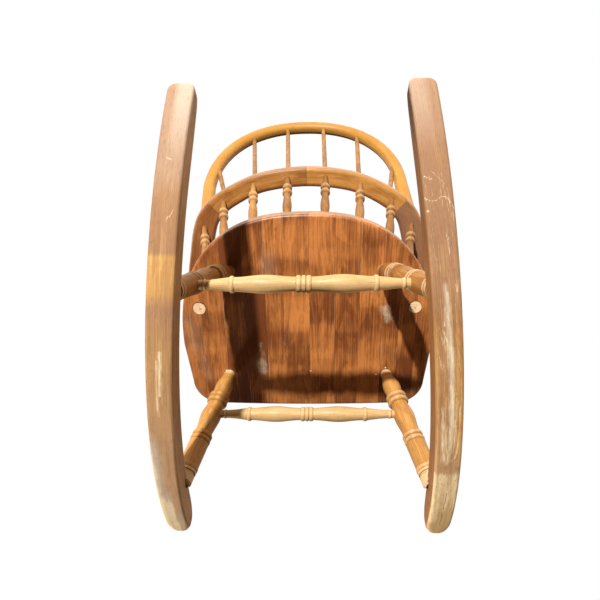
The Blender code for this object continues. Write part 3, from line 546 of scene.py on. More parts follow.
def rounded_ring(width: float, depth: float, edge: float, flats: tuple[int, int], arc: int) -> np.ndarray:
    """Give the points of a rectangle with rounded corners, about its middle.

    Args:
        width: Size across.
        depth: Size up.
        edge: Corner radius.
        flats: Points along the wide faces and along the side faces.
        arc: Points in each corner.

    Returns:
        Points as (across, up), starting along the lower face.
    """
    edge = min(edge, LARGEST_EDGE * width, LARGEST_EDGE * depth)
    half, tall = width / 2 - edge, depth / 2 - edge
    wide = np.linspace(-half, half, flats[0])
    high = np.linspace(-tall, tall, flats[1])
    turn = np.linspace(0.0, math.pi / 2, arc + 2)[1:-1]
    corner = np.stack([np.sin(turn), -np.cos(turn)], axis=1) * edge
    lower = np.stack([wide, np.full_like(wide, -depth / 2)], axis=1)
    right = np.stack([np.full_like(high, width / 2), high], axis=1)
    first = corner + (half, -tall)
    second = np.stack([-corner[:, 1], corner[:, 0]], axis=1) + (half, tall)
    run = np.concatenate([lower, first, right, second])
    return np.concatenate([run, -run])


def smooth(values: np.ndarray, low: float, high: float) -> np.ndarray:
    """Rise smoothly from 0 at low to 1 at high."""
    share = np.clip((values - low) / (high - low), 0.0, 1.0)
    return share * share * (3 - 2 * share)


def quarter_round(distance: np.ndarray, length: float) -> np.ndarray:
    """Rise from 0 at a tip to 1 at a length from it, as a quarter of an ellipse does."""
    return np.sqrt(1 - np.clip(1 - distance / length, 0.0, 1.0) ** 2)


def run_lengths(path: np.ndarray) -> np.ndarray:
    """Give the distance along a path at each of its points."""
    gaps = np.linalg.norm(np.diff(path, axis=0), axis=1)
    return np.concatenate([[0.0], np.cumsum(gaps)])


def evenly_spaced(path: np.ndarray, steps: int) -> np.ndarray:
    """Space a path's points evenly along it.

    Args:
        path: The points.
        steps: Steps from one end to the other.

    Returns:
        One point more than there are steps.
    """
    length = run_lengths(path)
    wanted = np.linspace(0.0, length[-1], steps + 1)
    return np.stack([np.interp(wanted, length, path[:, axis]) for axis in range(path.shape[1])], axis=1)


def full_round(angles: np.ndarray, fullness: float) -> tuple[np.ndarray, np.ndarray]:
    """Give half of a curve that is fuller than a circle.

    Args:
        angles: From 0 at one side to pi at the other.
        fullness: 2 for a circle, and more for a squarer curve.

    Returns:
        The shares across, from 1 to -1, and the shares up, from 0 to 1 and back.
    """
    power = 2 / fullness
    across = np.sign(np.cos(angles)) * np.abs(np.cos(angles)) ** power
    return across, np.abs(np.sin(angles)) ** power


def full_round_point(angle: float, half_width: float, height: float, fullness: float) -> Place2:
    """Give one point of such a curve.

    Args:
        angle: Angle from straight up.
        half_width: The curve's reach across.
        height: Its reach up.
        fullness: 2 for an ellipse, and more for a squarer curve.

    Returns:
        The place across and up.
    """
    across, up = math.sin(angle), math.cos(angle)
    reach = ((across / half_width) ** fullness + (up / height) ** fullness) ** (-1 / fullness)
    return reach * across, reach * up


@dataclass(frozen=True)
class Scuff:
    """A mark on a flat run of wood: a soft line between two places, given along and across."""

    paint: Paint
    start: Place2
    end: Place2
    width: float
    strength: float = 1.0

    def value(self, along: np.ndarray, across: np.ndarray) -> np.ndarray:
        """Give the mark's strength at each place.

        Args:
            along: Place along the wood, for every point.
            across: Place across it.

        Returns:
            The strength, for every point.
        """
        way = np.subtract(self.end, self.start)
        length = float(way @ way) or 1.0
        share = ((along - self.start[0]) * way[0] + (across - self.start[1]) * way[1]) / length
        share = np.clip(share, 0.0, 1.0)
        gap = np.hypot(along - self.start[0] - share * way[0], across - self.start[1] - share * way[1])
        return self.strength * np.exp(-(gap / self.width) ** 2)


@dataclass(frozen=True)
class Band:
    """A stretch of wood between two places along it, each with its own soft edge."""

    paint: Paint
    start: float
    end: float
    start_edge: float
    end_edge: float
    strength: float = 1.0
    across: Place2 = (-1.0, 1.0)
    side_edge: float = 0.004

    def value(self, along: np.ndarray, across: np.ndarray) -> np.ndarray:
        """Give the mark's strength at each place.

        Args:
            along: Place along the wood, for every point.
            across: Place across it.

        Returns:
            The strength, for every point.
        """
        inside = smooth(along, self.start, self.start + self.start_edge)
        inside = inside * (1 - smooth(along, self.end - self.end_edge, self.end))
        inside = inside * smooth(across, self.across[0], self.across[0] + self.side_edge)
        return self.strength * inside * (1 - smooth(across, self.across[1] - self.side_edge, self.across[1]))


def painted(marks: list, along: np.ndarray, across: np.ndarray) -> dict[Paint, np.ndarray]:
    """Lay marks over each other, adding up tones and keeping the strongest of each other kind.

    Args:
        marks: Scuffs and bands.
        along: Place along the wood, for every point.
        across: Place across it.

    Returns:
        A value for every point, for each kind of mark.
    """
    channels = {paint: np.zeros_like(along) for paint in Paint if paint is not Paint.WOOD}
    for mark in marks:
        value = mark.value(along, across)
        before = channels[mark.paint]
        channels[mark.paint] = before + value if mark.paint is Paint.TONE else np.maximum(before, value)
    return channels


def strengthen(channels: dict[Paint, np.ndarray], paint: Paint, value: np.ndarray | float) -> None:
    """Raise one painted channel to a value wherever it is weaker."""
    channels[paint] = np.maximum(channels[paint], value)


class Turning:
    """A turned profile, worked from one end to the other, with wear on its crowns and soiling and painted
    shade in its grooves.
    """

    step_length = 0.0003
    # Soiling and painted shade in the corner of each step
    step_grime = 0.6

    def __init__(self, diameter: float = 0.0, rows: list[tuple] | None = None) -> None:
        """Start at a diameter, or from rows of station, radius, wear, and soiling with painted shade."""
        self.rows = rows or [(0.0, diameter / 2, 0.0, 0.0)]

    @property
    def length(self) -> float:
        """Give the distance from the start to the last point."""
        return self.rows[-1][0]

    @property
    def radius(self) -> float:
        """Give the radius at the last point."""
        return self.rows[-1][1]

    def add(self, length: float, radius: float, worn: float = 0.0, grime: float = 0.0) -> "Turning":
        """Go on by a length to a radius."""
        self.rows.append((self.length + length, radius, worn, grime))
        return self

    def straight(self, length: float, diameter: float | None = None, worn: float = 0.0,
                 steps: int = 6) -> "Turning":
        """Run on at the same radius, or taper to a diameter.

        Args:
            length: The run's length.
            diameter: Its end diameter, if it tapers.
            worn: Its wear.
            steps: Points along it.

        Returns:
            The same turning.
        """
        first = self.radius
        last = first if diameter is None else diameter / 2
        for step in range(1, steps + 1):
            self.add(length / steps, first + (last - first) * step / steps, worn)
        return self

    def step(self, diameter: float) -> "Turning":
        """Change the diameter, almost square to the axis."""
        return self.add(self.step_length, diameter / 2, grime=self.step_grime)

    def swell(self, length: float, peak: float, end: float, peak_at: float = 0.5, worn: float = 0.0,
              steps: int = 26) -> "Turning":
        """Rise smoothly to a peak diameter and fall to an end diameter.

        Args:
            length: The swell's length.
            peak: Its largest diameter.
            end: Its end diameter.
            peak_at: Where the peak is, as a share of the length.
            worn: Wear at the peak.
            steps: Points along it.

        Returns:
            The same turning.
        """
        base = self.radius
        for step in range(1, steps + 1):
            share = step / steps
            low = base if share < peak_at else end / 2
            angle = share / peak_at if share < peak_at else (1 - share) / (1 - peak_at)
            rise = (1 - math.cos(math.pi * angle)) / 2
            self.add(length / steps, low + (peak / 2 - low) * rise, worn * rise)
        return self

    def bead(self, length: float, crown: float, worn: float = 0.8, grime: float = 0.7,
             steps: int = 14) -> "Turning":
        """Add a half-round ring that stands on the present radius.

        Args:
            length: The ring's length.
            crown: Its diameter.
            worn: Wear on its crown.
            grime: Soiling and painted shade beside it.
            steps: Points along it.

        Returns:
            The same turning.
        """
        base, start = self.radius, self.length
        for step in range(1, steps + 1):
            angle = math.pi * step / steps
            station = start + length * (1 - math.cos(angle)) / 2
            rise = math.sin(angle)
            radius = base + (crown / 2 - base) * rise
            valley = max(0.0, 1 - 3 * rise)
            self.add(station - self.length, radius, worn * rise ** 2, grime * valley)
        return self

    def moved(self, start: float, downward: bool = False) -> "Turning":
        """Measure the stations from another place, counted down if wanted."""
        sign = -1 if downward else 1
        return Turning(rows=[(sign * (station - start), *rest) for station, *rest in self.rows])

    def mirrored(self) -> "Turning":
        """Turn the same profile on both sides of its start."""
        return Turning(rows=[(-station, *rest) for station, *rest in reversed(self.rows[1:])] + self.rows)


@dataclass(frozen=True)
class Seating:
    """Where a turned piece stands: its origin and the way its axis points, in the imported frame."""

    origin: Vector
    axis: Vector
    stretch: float = 1.0
    tone: float = 0.0


class Lathe:
    """Turns round pieces with a Geometry Nodes tree: a profile is swept and set on one or more places."""

    def __init__(self) -> None:
        """Build the tree."""
        self.tree = bpy.data.node_groups.new("lathe", "GeometryNodeTree")
        sockets = {"Profile": "NodeSocketGeometry", "Places": "NodeSocketObject", "Sides": "NodeSocketInt",
                   "Seed": "NodeSocketInt"}
        given, result = group_sockets(self.tree, sockets, {"Turned": "NodeSocketGeometry"})
        bench = NodeBench(self.tree)
        line = bench.add("GeometryNodeMeshToCurve", {"Mesh": given["Profile"]}).outputs[0]
        fed = {"Resolution": given["Sides"], "Radius": 1.0}
        circle = bench.add("GeometryNodeCurvePrimitiveCircle", fed).outputs[0]
        radius = bench.named("radius", "FLOAT")
        fed = {"Curve": line, "Profile Curve": circle, "Scale": radius, "Fill Caps": True}
        turned = bench.add("GeometryNodeCurveToMesh", fed).outputs[0]
        turned = bench.store(turned, Paint.WOOD.value, bench.add("GeometryNodeInputPosition").outputs[0])
        places = bench.add("GeometryNodeObjectInfo", {"Object": given["Places"]}).outputs["Geometry"]
        rotation = bench.add("FunctionNodeEulerToRotation", {"Euler": bench.named("turn")}).outputs[0]
        fed = {"X": 1.0, "Y": 1.0, "Z": bench.named("stretch", "FLOAT")}
        scale = bench.add("ShaderNodeCombineXYZ", fed).outputs[0]
        fed = {"Points": places, "Instance": turned, "Rotation": rotation, "Scale": scale}
        copies = bench.add("GeometryNodeInstanceOnPoints", fed).outputs[0]
        reach = 0.4
        fed = {"Min": (-reach, -reach, -reach), "Max": (reach, reach, reach), "Seed": given["Seed"]}
        shift = bench.add("FunctionNodeRandomValue", fed, data_type="FLOAT_VECTOR").outputs[0]
        copies = bench.store(copies, "shift", shift, "INSTANCE")
        solid = bench.add("GeometryNodeRealizeInstances", {"Geometry": copies}).outputs[0]
        fed = {0: bench.named(Paint.WOOD.value), 1: bench.named("shift")}
        place = bench.add("ShaderNodeVectorMath", fed, operation="ADD").outputs[0]
        bench.feed(result["Turned"], bench.store(solid, Paint.WOOD.value, place))

    @staticmethod
    def profile_object(turning: Turning) -> bpy.types.Object:
        """Draw a profile as a line along Z whose points hold the radius and the wear.

        Args:
            turning: The profile.

        Returns:
            The line's object, linked to the scene.
        """
        stations, *layers = np.array(turning.rows).T
        mesh = bpy.data.meshes.new("profile")
        edges = [(start, start + 1) for start in range(len(stations) - 1)]
        mesh.from_pydata([(0.0, 0.0, station) for station in stations], edges, [])
        for name, values in zip(("radius", Paint.WORN.value, Paint.GRIME.value), layers):
            store_layer(mesh, name, values)
        return linked_object("profile", mesh)

    @staticmethod
    def places_object(seatings: list[Seating]) -> bpy.types.Object:
        """Draw the places as points that hold a turn, a stretch and a tone.

        Args:
            seatings: The places.

        Returns:
            The points' object, linked to the scene.
        """
        mesh = bpy.data.meshes.new("places")
        mesh.from_pydata([seating.origin for seating in seatings], [], [])
        turns = [tuple(seating.axis.to_track_quat("Z", "Y").to_euler()) for seating in seatings]
        store_layer(mesh, "turn", turns, vector=True)
        for name in ("stretch", "tone"):
            store_layer(mesh, name, [getattr(seating, name) for seating in seatings])
        return linked_object("places", mesh)

    def turn(self, turning: Turning, seatings: list[Seating], sides: int, seed: int) -> bpy.types.Mesh:
        """Turn a profile on each of some places.

        Args:
            turning: The profile.
            seatings: Where the copies stand.
            sides: Sides of the circle.
            seed: Fixes where in the board each copy is cut.

        Returns:
            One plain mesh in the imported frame.
        """
        profile, places = self.profile_object(turning), self.places_object(seatings)
        modifier = profile.modifiers.new("lathe", "NODES")
        modifier.node_group = self.tree
        values = {"Places": places, "Sides": sides, "Seed": seed}
        for socket in self.tree.interface.items_tree:
            if socket.in_out == "INPUT" and socket.name in values:
                modifier[socket.identifier] = values[socket.name]
        bpy.context.view_layer.update()
        depsgraph = bpy.context.evaluated_depsgraph_get()
        evaluated = profile.evaluated_get(depsgraph)
        mesh = bpy.data.meshes.new_from_object(evaluated, preserve_all_data_layers=True, depsgraph=depsgraph)
        for item in (profile, places):
            bpy.data.objects.remove(item, do_unlink=True)
        outward(mesh)
        return mesh


def scuffed_line(paint: Paint, places: list[Place2], width: float, strength: float) -> list[Scuff]:
    """Draw a mark along a line of places."""
    return [Scuff(paint, start, end, width, strength) for start, end in zip(places, places[1:])]


@dataclass(frozen=True)
class RockerLook:
    """What sets one rocker's finish apart from the other's."""

    chalk: float
    chalk_length: float
    inner_shade: float
    fade: float
    flank_tone: float


ROCKER_LOOKS = {
    Side.LEFT: RockerLook(chalk=0.85, chalk_length=0.22, inner_shade=0.14, fade=0.10, flank_tone=0.08),
    Side.RIGHT: RockerLook(chalk=0.50, chalk_length=0.12, inner_shade=0.44, fade=0.0, flank_tone=-0.18),
}


@dataclass
class Rockers:
    """The two sawn rockers, worn along their running faces.

    A run tells where a mark sets in and where it has its full strength.
    An end tells where it begins to fade and where it is gone.
    """

    workshop: Workshop
    radius: float = 0.729
    thickness: float = 0.042
    height: float = 0.045
    half_spacing: float = 0.2243
    toe_in: float = 0.090
    front_reach: float = 0.357
    rear_reach: float = 0.481
    edge: float = 0.0045
    front_edge: float = 0.015
    front_edge_length: float = 0.070
    taper_length: float = 0.130
    end_height: float = 0.030
    nose_length: float = 0.036
    nose_round: float = 0.0165
    nose_round_length: float = 0.032
    rear_round: float = 0.0160
    rear_round_length: float = 0.017
    tip_lift: float = 0.010
    tip_lift_length: float = 0.018
    step: float = 0.002
    nose_steps: int = 14
    first_nose_step: float = 0.12
    flat_points: tuple = (31, 7)
    edge_points: int = 6
    board_places: Place2 = (0.31, 0.12)
    flank_run: Place2 = (0.004, 0.010)
    edge_wear: float = 0.30
    edge_run: Place2 = (0.015, 0.021)
    tip_wear: float = 0.40
    tip_end: Place2 = (0.02, 0.20)
    chalk_start: float = 0.02
    chalk_run: Place2 = (-0.022, -0.012)
    inner_shade_run: Place2 = (0.10, 0.30)
    rear_shade: float = 0.30
    rear_shade_run: Place2 = (0.36, 0.46)
    front_shade: float = 0.50
    front_shade_end: Place2 = (-0.38, -0.24)
    front_tone: float = 0.30
    front_tone_end: Place2 = (-0.10, 0.22)
    board_tone: float = -0.18
    trees: dict = field(default_factory=dict)

    def centre_x(self, y: np.ndarray) -> np.ndarray:
        """Give half the rockers' spacing at a place along them."""
        return self.half_spacing - self.toe_in * y

    def stations(self) -> np.ndarray:
        """Lay out the cross-sections, closer together at the tips.

        Returns:
            Their angles, and their distances from the nearer tip.
        """
        front, rear = -math.asin(self.front_reach / self.radius), math.asin(self.rear_reach / self.radius)
        nose = self.nose_length / self.radius
        steps = np.arange(self.nose_steps) + self.first_nose_step
        shares = 1 - np.cos(math.pi / 2 * steps / self.nose_steps)
        middle = np.linspace(front + nose, rear - nose, int((rear - front) * self.radius / self.step))
        angles = np.concatenate([front + nose * shares, middle, rear - nose * shares[::-1]])
        return np.stack([angles, self.radius * np.minimum(angles - front, rear - angles)], axis=1)

    def build_one(self, side: Side) -> None:
        """Saw and dress one rocker.

        Args:
            side: Which one.
        """
        stations = self.stations()
        distance = stations[:, 1]
        taper = np.sin(math.pi / 2 * np.minimum(distance / self.taper_length, 1.0))
        full = self.end_height + (self.height - self.end_height) * taper
        lift = self.tip_lift * (1 - quarter_round(distance, self.tip_lift_length))
        top = self.tip_lift + (full - self.tip_lift) * quarter_round(distance, self.nose_length)
        narrow = self.nose_round * (1 - quarter_round(distance, self.nose_round_length))
        rear_narrow = self.rear_round * (1 - quarter_round(distance, self.rear_round_length))
        narrow = np.where(stations[:, 0] > 0, rear_narrow, narrow)
        domed = (1 - smooth(distance, 0.0, self.front_edge_length)) * (stations[:, 0] < 0)
        edges = self.edge + (self.front_edge - self.edge) * domed
        rings, across, height = [], [], []
        for angle, high, low, slim, edge in zip(stations[:, 0], top, lift, narrow, edges):
            width = self.thickness - 2 * slim
            ring = rounded_ring(width, high - low, edge, self.flat_points, self.edge_points)
            reach = self.radius - (high + low) / 2 - ring[:, 1]
            y, z = reach * math.sin(angle), self.radius - reach * math.cos(angle)
            rings.append(np.stack([side.value * (self.centre_x(y) + ring[:, 0]), y, z], axis=1))
            across.append(ring[:, 0])
            height.append(ring[:, 1] + (high - low) / 2)
        rings, across, height = np.array(rings), np.array(across), np.array(height)
        world = STANCE.points(rings)
        world[..., 2] = np.maximum(world[..., 2], 0.0)
        channels = self.paint(side, rings[..., 1], across, height, distance[:, None] + 0 * across)
        along = self.radius * stations[:, 0][:, None] + 0 * across
        board_x, board_y = self.board_places
        channels[Paint.WOOD] = np.stack([across + board_x * side.value, height + board_y, along], axis=-1)
        mesh = loft(f"rocker_{side.word}", world, channels)
        places = [vert.co for vert in mesh.vertices]
        self.trees[side] = BVHTree.FromPolygons(places, [face.vertices for face in mesh.polygons])
        self.workshop.finish_piece(f"rocker_{side.word}", mesh, Finish.ROCKER)

    def paint(self, side: Side, y: np.ndarray, across: np.ndarray, height: np.ndarray,
              tip: np.ndarray) -> dict[Paint, np.ndarray]:
        """Wear the running face, the edges and the tips.

        Args:
            side: Which rocker.
            y: Place along it.
            across: Place outwards from its middle.
            height: Height above its running face.
            tip: Distance from the nearer tip.

        Returns:
            The painted channels.
        """
        look = ROCKER_LOOKS[side]
        marks = self.left_marks() if side is Side.LEFT else self.right_marks()
        under = 1 - smooth(height, *self.flank_run)
        channels = {paint: values * under for paint, values in painted(marks, y, across).items()}
        corner = smooth(np.abs(across), *self.edge_run) * under
        strengthen(channels, Paint.WORN, self.edge_wear * corner)
        front_tip = under * (1 - smooth(tip, *self.tip_end)) * (y < 0)
        strengthen(channels, Paint.WORN, self.tip_wear * front_tip)
        chalky = (1 - smooth(tip, self.chalk_start, look.chalk_length)) * (y < 0)
        chalky = chalky * smooth(across, *self.chalk_run)
        strengthen(channels, Paint.FADE, np.maximum(look.chalk * chalky, look.fade))
        inner = (1 - under) * (across < 0)
        shade = look.inner_shade * smooth(y, *self.inner_shade_run)
        shade = shade + self.rear_shade * smooth(y, *self.rear_shade_run)
        shade = shade + self.front_shade * (1 - smooth(y, *self.front_shade_end))
        strengthen(channels, Paint.GRIME, inner * shade)
        front_tone = self.front_tone * under * (1 - smooth(y, *self.front_tone_end))
        channels[Paint.TONE] += front_tone + self.board_tone + look.flank_tone * (1 - under)
        return channels

    @staticmethod
    def left_marks() -> list:
        """List the wear on the left rocker's running face, with a painted sheen and a painted glint.

        Returns:
            Marks by place to the rear and outwards.
        """
        return [
            # Pale wood at the rear end, partly a painted sheen
            Band(Paint.FADE, 0.300, 0.52, 0.170, 0.01, 0.66, (-0.040, 0.017), 0.020),
            Band(Paint.FADE, 0.300, 0.52, 0.060, 0.01, 0.24),
            Band(Paint.TONE, 0.340, 0.52, 0.080, 0.01, -0.12),
            Band(Paint.FADE, 0.246, 0.344, 0.003, 0.002, 0.06),
            Band(Paint.TONE, 0.246, 0.520, 0.008, 0.010, -0.09),
            Band(Paint.WARM, 0.246, 0.420, 0.008, 0.100, 0.13),
            Band(Paint.TONE, -0.02, 0.300, 0.060, 0.060, -0.06, (-0.030, -0.004), 0.006),
            Band(Paint.WARM, 0.168, 0.249, 0.030, 0.008, 1.0),
            Band(Paint.WARM, -0.02, 0.170, 0.08, 0.05, 0.25),
            Band(Paint.FADE, -0.06, 0.110, 0.05, 0.04, 0.12, (0.004, 0.030), 0.006),
            # Painted glint: a bright streak along the middle of the running face
            Scuff(Paint.PALE, (0.104, -0.003), (0.034, -0.001), 0.0046, 0.56),
            Scuff(Paint.PALE, (0.090, 0.002), (0.006, 0.003), 0.0036, 0.44),
            Scuff(Paint.PALE, (0.068, -0.006), (0.018, -0.005), 0.0030, 0.38),
            Scuff(Paint.PALE, (0.050, 0.000), (-0.004, 0.001), 0.0040, 0.34),
            Scuff(Paint.PALE, (0.375, 0.006), (0.372, -0.002), 0.0010, 0.6),
            Scuff(Paint.PALE, (0.306, -0.013), (0.296, -0.008), 0.0009, 0.7),
            Scuff(Paint.PALE, (0.297, -0.006), (0.290, -0.002), 0.0009, 0.6),
            Scuff(Paint.GRIME, (0.262, 0.018), (0.268, 0.004), 0.0012, 0.55),
            Scuff(Paint.GRIME, (-0.130, -0.004), (-0.150, 0.002), 0.0100, 0.26),
            Band(Paint.FADE, -0.40, -0.020, 0.01, 0.08, 0.30, (-0.006, 0.030), 0.008),
            Band(Paint.FADE, -0.40, -0.020, 0.01, 0.06, 0.80, (0.001, 0.040), 0.012),
            Band(Paint.FADE, -0.40, -0.150, 0.01, 0.06, 0.80, (-0.011, 0.040), 0.012),
            Band(Paint.PALE, -0.40, -0.160, 0.01, 0.05, 0.82, (0.001, 0.040), 0.014),
            Band(Paint.PALE, -0.40, -0.010, 0.01, 0.14, 0.58, (0.004, 0.040), 0.012),
            Band(Paint.GRIME, -0.42, -0.322, 0.001, 0.03, 0.48),
            Band(Paint.PALE, -0.40, -0.170, 0.01, 0.06, 0.58, (-0.012, 0.040), 0.012),
            Scuff(Paint.GRIME, (-0.215, -0.014), (-0.260, -0.006), 0.0045, 0.30),
        ]

    @staticmethod
    def right_marks() -> list:
        """List the wear on the right rocker's running face, with a painted glint.

        Returns:
            Marks by place to the rear and outwards.
        """
        wave = [(0.315, -0.020), (0.312, -0.012), (0.3125, -0.006), (0.3185, 0.004), (0.317, 0.010),
                (0.308, 0.0165), (0.300, 0.020)]
        loops = ((Paint.GRIME, -0.100, 0.0165, 0.0010, 0.40), (Paint.PALE, -0.095, 0.0135, 0.0016, 0.50),
                 (Paint.GRIME, -0.088, 0.0105, 0.0008, 0.34), (Paint.PALE, -0.080, 0.0080, 0.0014, 0.50))
        cracks = (((-0.146, -0.017), (-0.151, -0.013), (-0.150, -0.009), (-0.156, -0.006), (-0.158, -0.001)),
                  ((-0.152, 0.003), (-0.149, 0.006), (-0.150, 0.008)), ((-0.144, 0.011), (-0.142, 0.014)),
                  ((-0.176, 0.001), (-0.198, 0.0015), (-0.215, -0.0005), (-0.232, 0.000)),
                  ((-0.246, -0.001), (-0.262, 0.0005), (-0.286, -0.001), (-0.300, 0.001)))
        marks = scuffed_line(Paint.PALE, wave, width=0.0009, strength=0.62)
        marks += [
            Band(Paint.TONE, 0.220, 0.52, 0.060, 0.01, -0.19),
            Band(Paint.TONE, 0.140, 0.52, 0.060, 0.01, -0.08, (0.004, 0.040), 0.006),
            Band(Paint.TONE, 0.150, 0.30, 0.050, 0.05, -0.12, (-0.040, -0.003), 0.006),
            Band(Paint.FADE, 0.140, 0.52, 0.060, 0.01, 0.10),
            Band(Paint.FADE, 0.330, 0.52, 0.130, 0.01, 0.38, (-0.040, 0.020), 0.024),
            Band(Paint.FADE, 0.330, 0.52, 0.100, 0.01, 0.18),
            Scuff(Paint.PALE, (0.344, -0.018), (0.340, -0.007), 0.0009, 0.7),
            Scuff(Paint.PALE, (0.352, -0.008), (0.334, 0.010), 0.0008, 0.6),
            Scuff(Paint.PALE, (0.299, -0.018), (0.299, -0.0175), 0.0018, 0.75),
            Band(Paint.WARM, -0.12, 0.18, 0.05, 0.08, 0.40, (0.006, 0.030), 0.006),
            Band(Paint.TONE, -0.20, 0.16, 0.10, 0.08, 0.10, (-0.030, -0.004), 0.006),
            # Painted glint along the middle of the running face, over pale worn wood
            Scuff(Paint.FADE, (0.200, -0.002), (0.060, 0.001), 0.0045, 0.50),
            Scuff(Paint.FADE, (0.060, 0.001), (-0.070, 0.001), 0.0032, 0.62),
            Scuff(Paint.PALE, (0.190, 0.000), (0.110, 0.004), 0.0050, 0.42),
            Scuff(Paint.PALE, (0.110, 0.004), (-0.045, 0.001), 0.0060, 0.50),
            Scuff(Paint.PALE, (-0.030, 0.006), (-0.100, -0.003), 0.0070, 0.44),
            Scuff(Paint.PALE, (0.010, -0.012), (-0.095, -0.008), 0.0070, 0.50),
            Band(Paint.PALE, -0.110, 0.180, 0.06, 0.08, 0.36, (-0.008, 0.012), 0.006),
            Band(Paint.FADE, -0.40, -0.020, 0.01, 0.08, 0.16),
            Band(Paint.PALE, -0.27, -0.112, 0.05, 0.02, 0.44),
            Band(Paint.PALE, -0.32, -0.112, 0.05, 0.02, 0.52, (-0.040, -0.002), 0.008),
            Band(Paint.WORN, -0.40, -0.100, 0.01, 0.05, 0.72),
            Band(Paint.TONE, -0.40, -0.250, 0.01, 0.05, -0.20, (0.000, 0.030), 0.010),
            Band(Paint.GRIME, -0.120, -0.100, 0.008, 0.008, 0.27),
            Band(Paint.GRIME, -0.42, -0.322, 0.001, 0.03, 0.48),
            Scuff(Paint.GRIME, (-0.310, 0.016), (-0.345, 0.010), 0.0060, 0.40),
        ]
        turns = np.linspace(-1.0, 1.0, 15)
        loop_length, loop_middle = 0.11, 0.001
        for paint, bottom, half_width, width, strength in loops:
            along = bottom + loop_length * np.abs(turns) ** 3
            across = loop_middle + half_width * np.sin(math.pi / 2 * turns)
            marks += scuffed_line(paint, list(zip(along, across)), width, strength)
        for crack in cracks:
            marks += scuffed_line(Paint.GRIME, crack, width=0.0010, strength=0.62)
        scratch_count, scratch_width = 150, 0.0008
        dice = np.random.default_rng(7)
        for _ in range(scratch_count):
            along, across = dice.uniform(0.02, 0.36), dice.uniform(-0.020, 0.020)
            reach, lean = dice.uniform(0.012, 0.050), dice.uniform(-0.002, 0.007)
            end = (along - reach, across + lean)
            marks.append(Scuff(Paint.PALE, (along, across), end, scratch_width, dice.uniform(0.25, 0.48)))
        return marks

    def build(self) -> None:
        """Make both rockers."""
        for side in Side:
            self.build_one(side)


@dataclass
class Legs:
    """The four turned legs, each coped over its rocker.

    A swell is given by its length, its peak and end diameters and the peak's share of the length. A ring or
    a taper is given by its length and its diameter.
    """

    workshop: Workshop
    lathe: Lathe
    rockers: Rockers
    front_top: Place2 = (0.1795, -0.128)
    rear_top: Place2 = (0.1618, 0.1232)
    front_foot_y: float = -0.196
    rear_foot_y: float = 0.1785
    front_inset: float = 0.013
    tenon: float = 0.026
    tenon_diameter: float = 0.025
    neck: float = 0.004
    shoulder: tuple = (0.060, 0.038, 0.034, 0.6)
    upper_ring: Place2 = (0.013, 0.044)
    belly: tuple = (0.076, 0.042, 0.034, 0.4)
    lower_ring: Place2 = (0.011, 0.041)
    shin_diameters: Place2 = (0.039, 0.038)
    foot_height: float = 0.026
    foot_ring: Place2 = (0.009, 0.0396)
    foot_collar: float = 0.005
    foot_groove: Place2 = (0.0034, 0.034)
    foot: Place2 = (0.004, 0.037)
    foot_end: Place2 = (0.004, 0.029)
    foot_lap: float = 0.012
    cope_rise: float = 0.06
    sides: int = 56
    sink: float = 0.0005

    def line(self, front: bool, side: Side) -> tuple[Vector, Vector]:
        """Place a leg's axis in the chair frame.

        Args:
            front: Whether it is a front leg.
            side: Its side.

        Returns:
            The axis's ends on the rocker's top and on the seat's underside.
        """
        top_x, top_y = self.front_top if front else self.rear_top
        foot_y = self.front_foot_y if front else self.rear_foot_y
        inset = self.front_inset if front else 0.0
        inner = self.rockers.radius - self.rockers.height
        foot_z = self.rockers.radius - math.sqrt(inner ** 2 - foot_y ** 2)
        foot = Vector((side.value * (self.rockers.centre_x(foot_y) - inset), foot_y, foot_z))
        return foot, Vector((side.value * top_x, top_y, SEAT_UNDERSIDE))

    def profile(self, length: float, wear: float) -> Turning:
        """Give a leg's turning, down from the seat's underside.

        Args:
            length: From the seat's underside to the rocker's top.
            wear: How far its beads are worn.

        Returns:
            The profile.
        """
        turning = Turning(self.tenon_diameter)
        turning.straight(self.tenon, worn=0.8).straight(self.neck, worn=0.8)
        turning.swell(*self.shoulder, worn=0.12)
        for _ in range(2):
            turning.bead(*self.upper_ring, worn=wear, grime=0.5)
        turning.swell(*self.belly, worn=0.10)
        for _ in range(2):
            turning.bead(*self.lower_ring, worn=wear, grime=0.5)
        top, bottom = self.shin_diameters
        turning.step(top)
        turning.straight(self.tenon + length - self.foot_height - turning.length, bottom, steps=24)
        turning.bead(*self.foot_ring, worn=1.15 * wear, grime=0.4).straight(self.foot_collar, worn=0.7)
        groove, groove_diameter = self.foot_groove
        turning.step(groove_diameter).straight(groove, worn=0.7, steps=3)
        foot, foot_diameter = self.foot
        turning.step(foot_diameter).straight(foot + self.foot_lap, worn=0.75, steps=12)
        turning.straight(*self.foot_end, worn=0.7, steps=3)
        return turning.moved(self.tenon, downward=True)

    def build(self) -> None:
        """Turn the four legs, each with its own tone and wear."""
        looks = {(True, Side.LEFT): (0.04, 0.24), (True, Side.RIGHT): (0.04, 0.54),
                 (False, Side.LEFT): (-0.20, 0.50), (False, Side.RIGHT): (-0.30, 0.72)}
        for seed, ((front, side), (tone, wear)) in enumerate(looks.items(), start=11):
            foot, top = (STANCE.point(place) for place in self.line(front, side))
            axis = (top - foot).normalized()
            profile = self.profile((top - foot).length, wear)
            mesh = self.lathe.turn(profile, [Seating(top, axis, tone=tone)], self.sides, seed)
            self.cope(mesh, axis, foot, self.rockers.trees[side])
            self.workshop.finish_piece(f"leg_{'front' if front else 'rear'}_{side.word}", mesh, Finish.LEG)

    def cope(self, mesh: bpy.types.Mesh, axis: Vector, foot: Vector, tree: BVHTree) -> None:
        """Stop a leg's foot on the rocker that it laps over.

        Args:
            mesh: The leg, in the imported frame.
            axis: The way up the leg.
            foot: Where its axis meets the rocker's top.
            tree: The rocker's surface.
        """
        for vert in mesh.vertices:
            if (vert.co - foot).dot(axis) < 2 * self.foot_lap:
                hit = tree.ray_cast(vert.co + axis * self.cope_rise, -axis, self.cope_rise)
                if hit[0] is not None:
                    vert.co = hit[0] - axis * self.sink


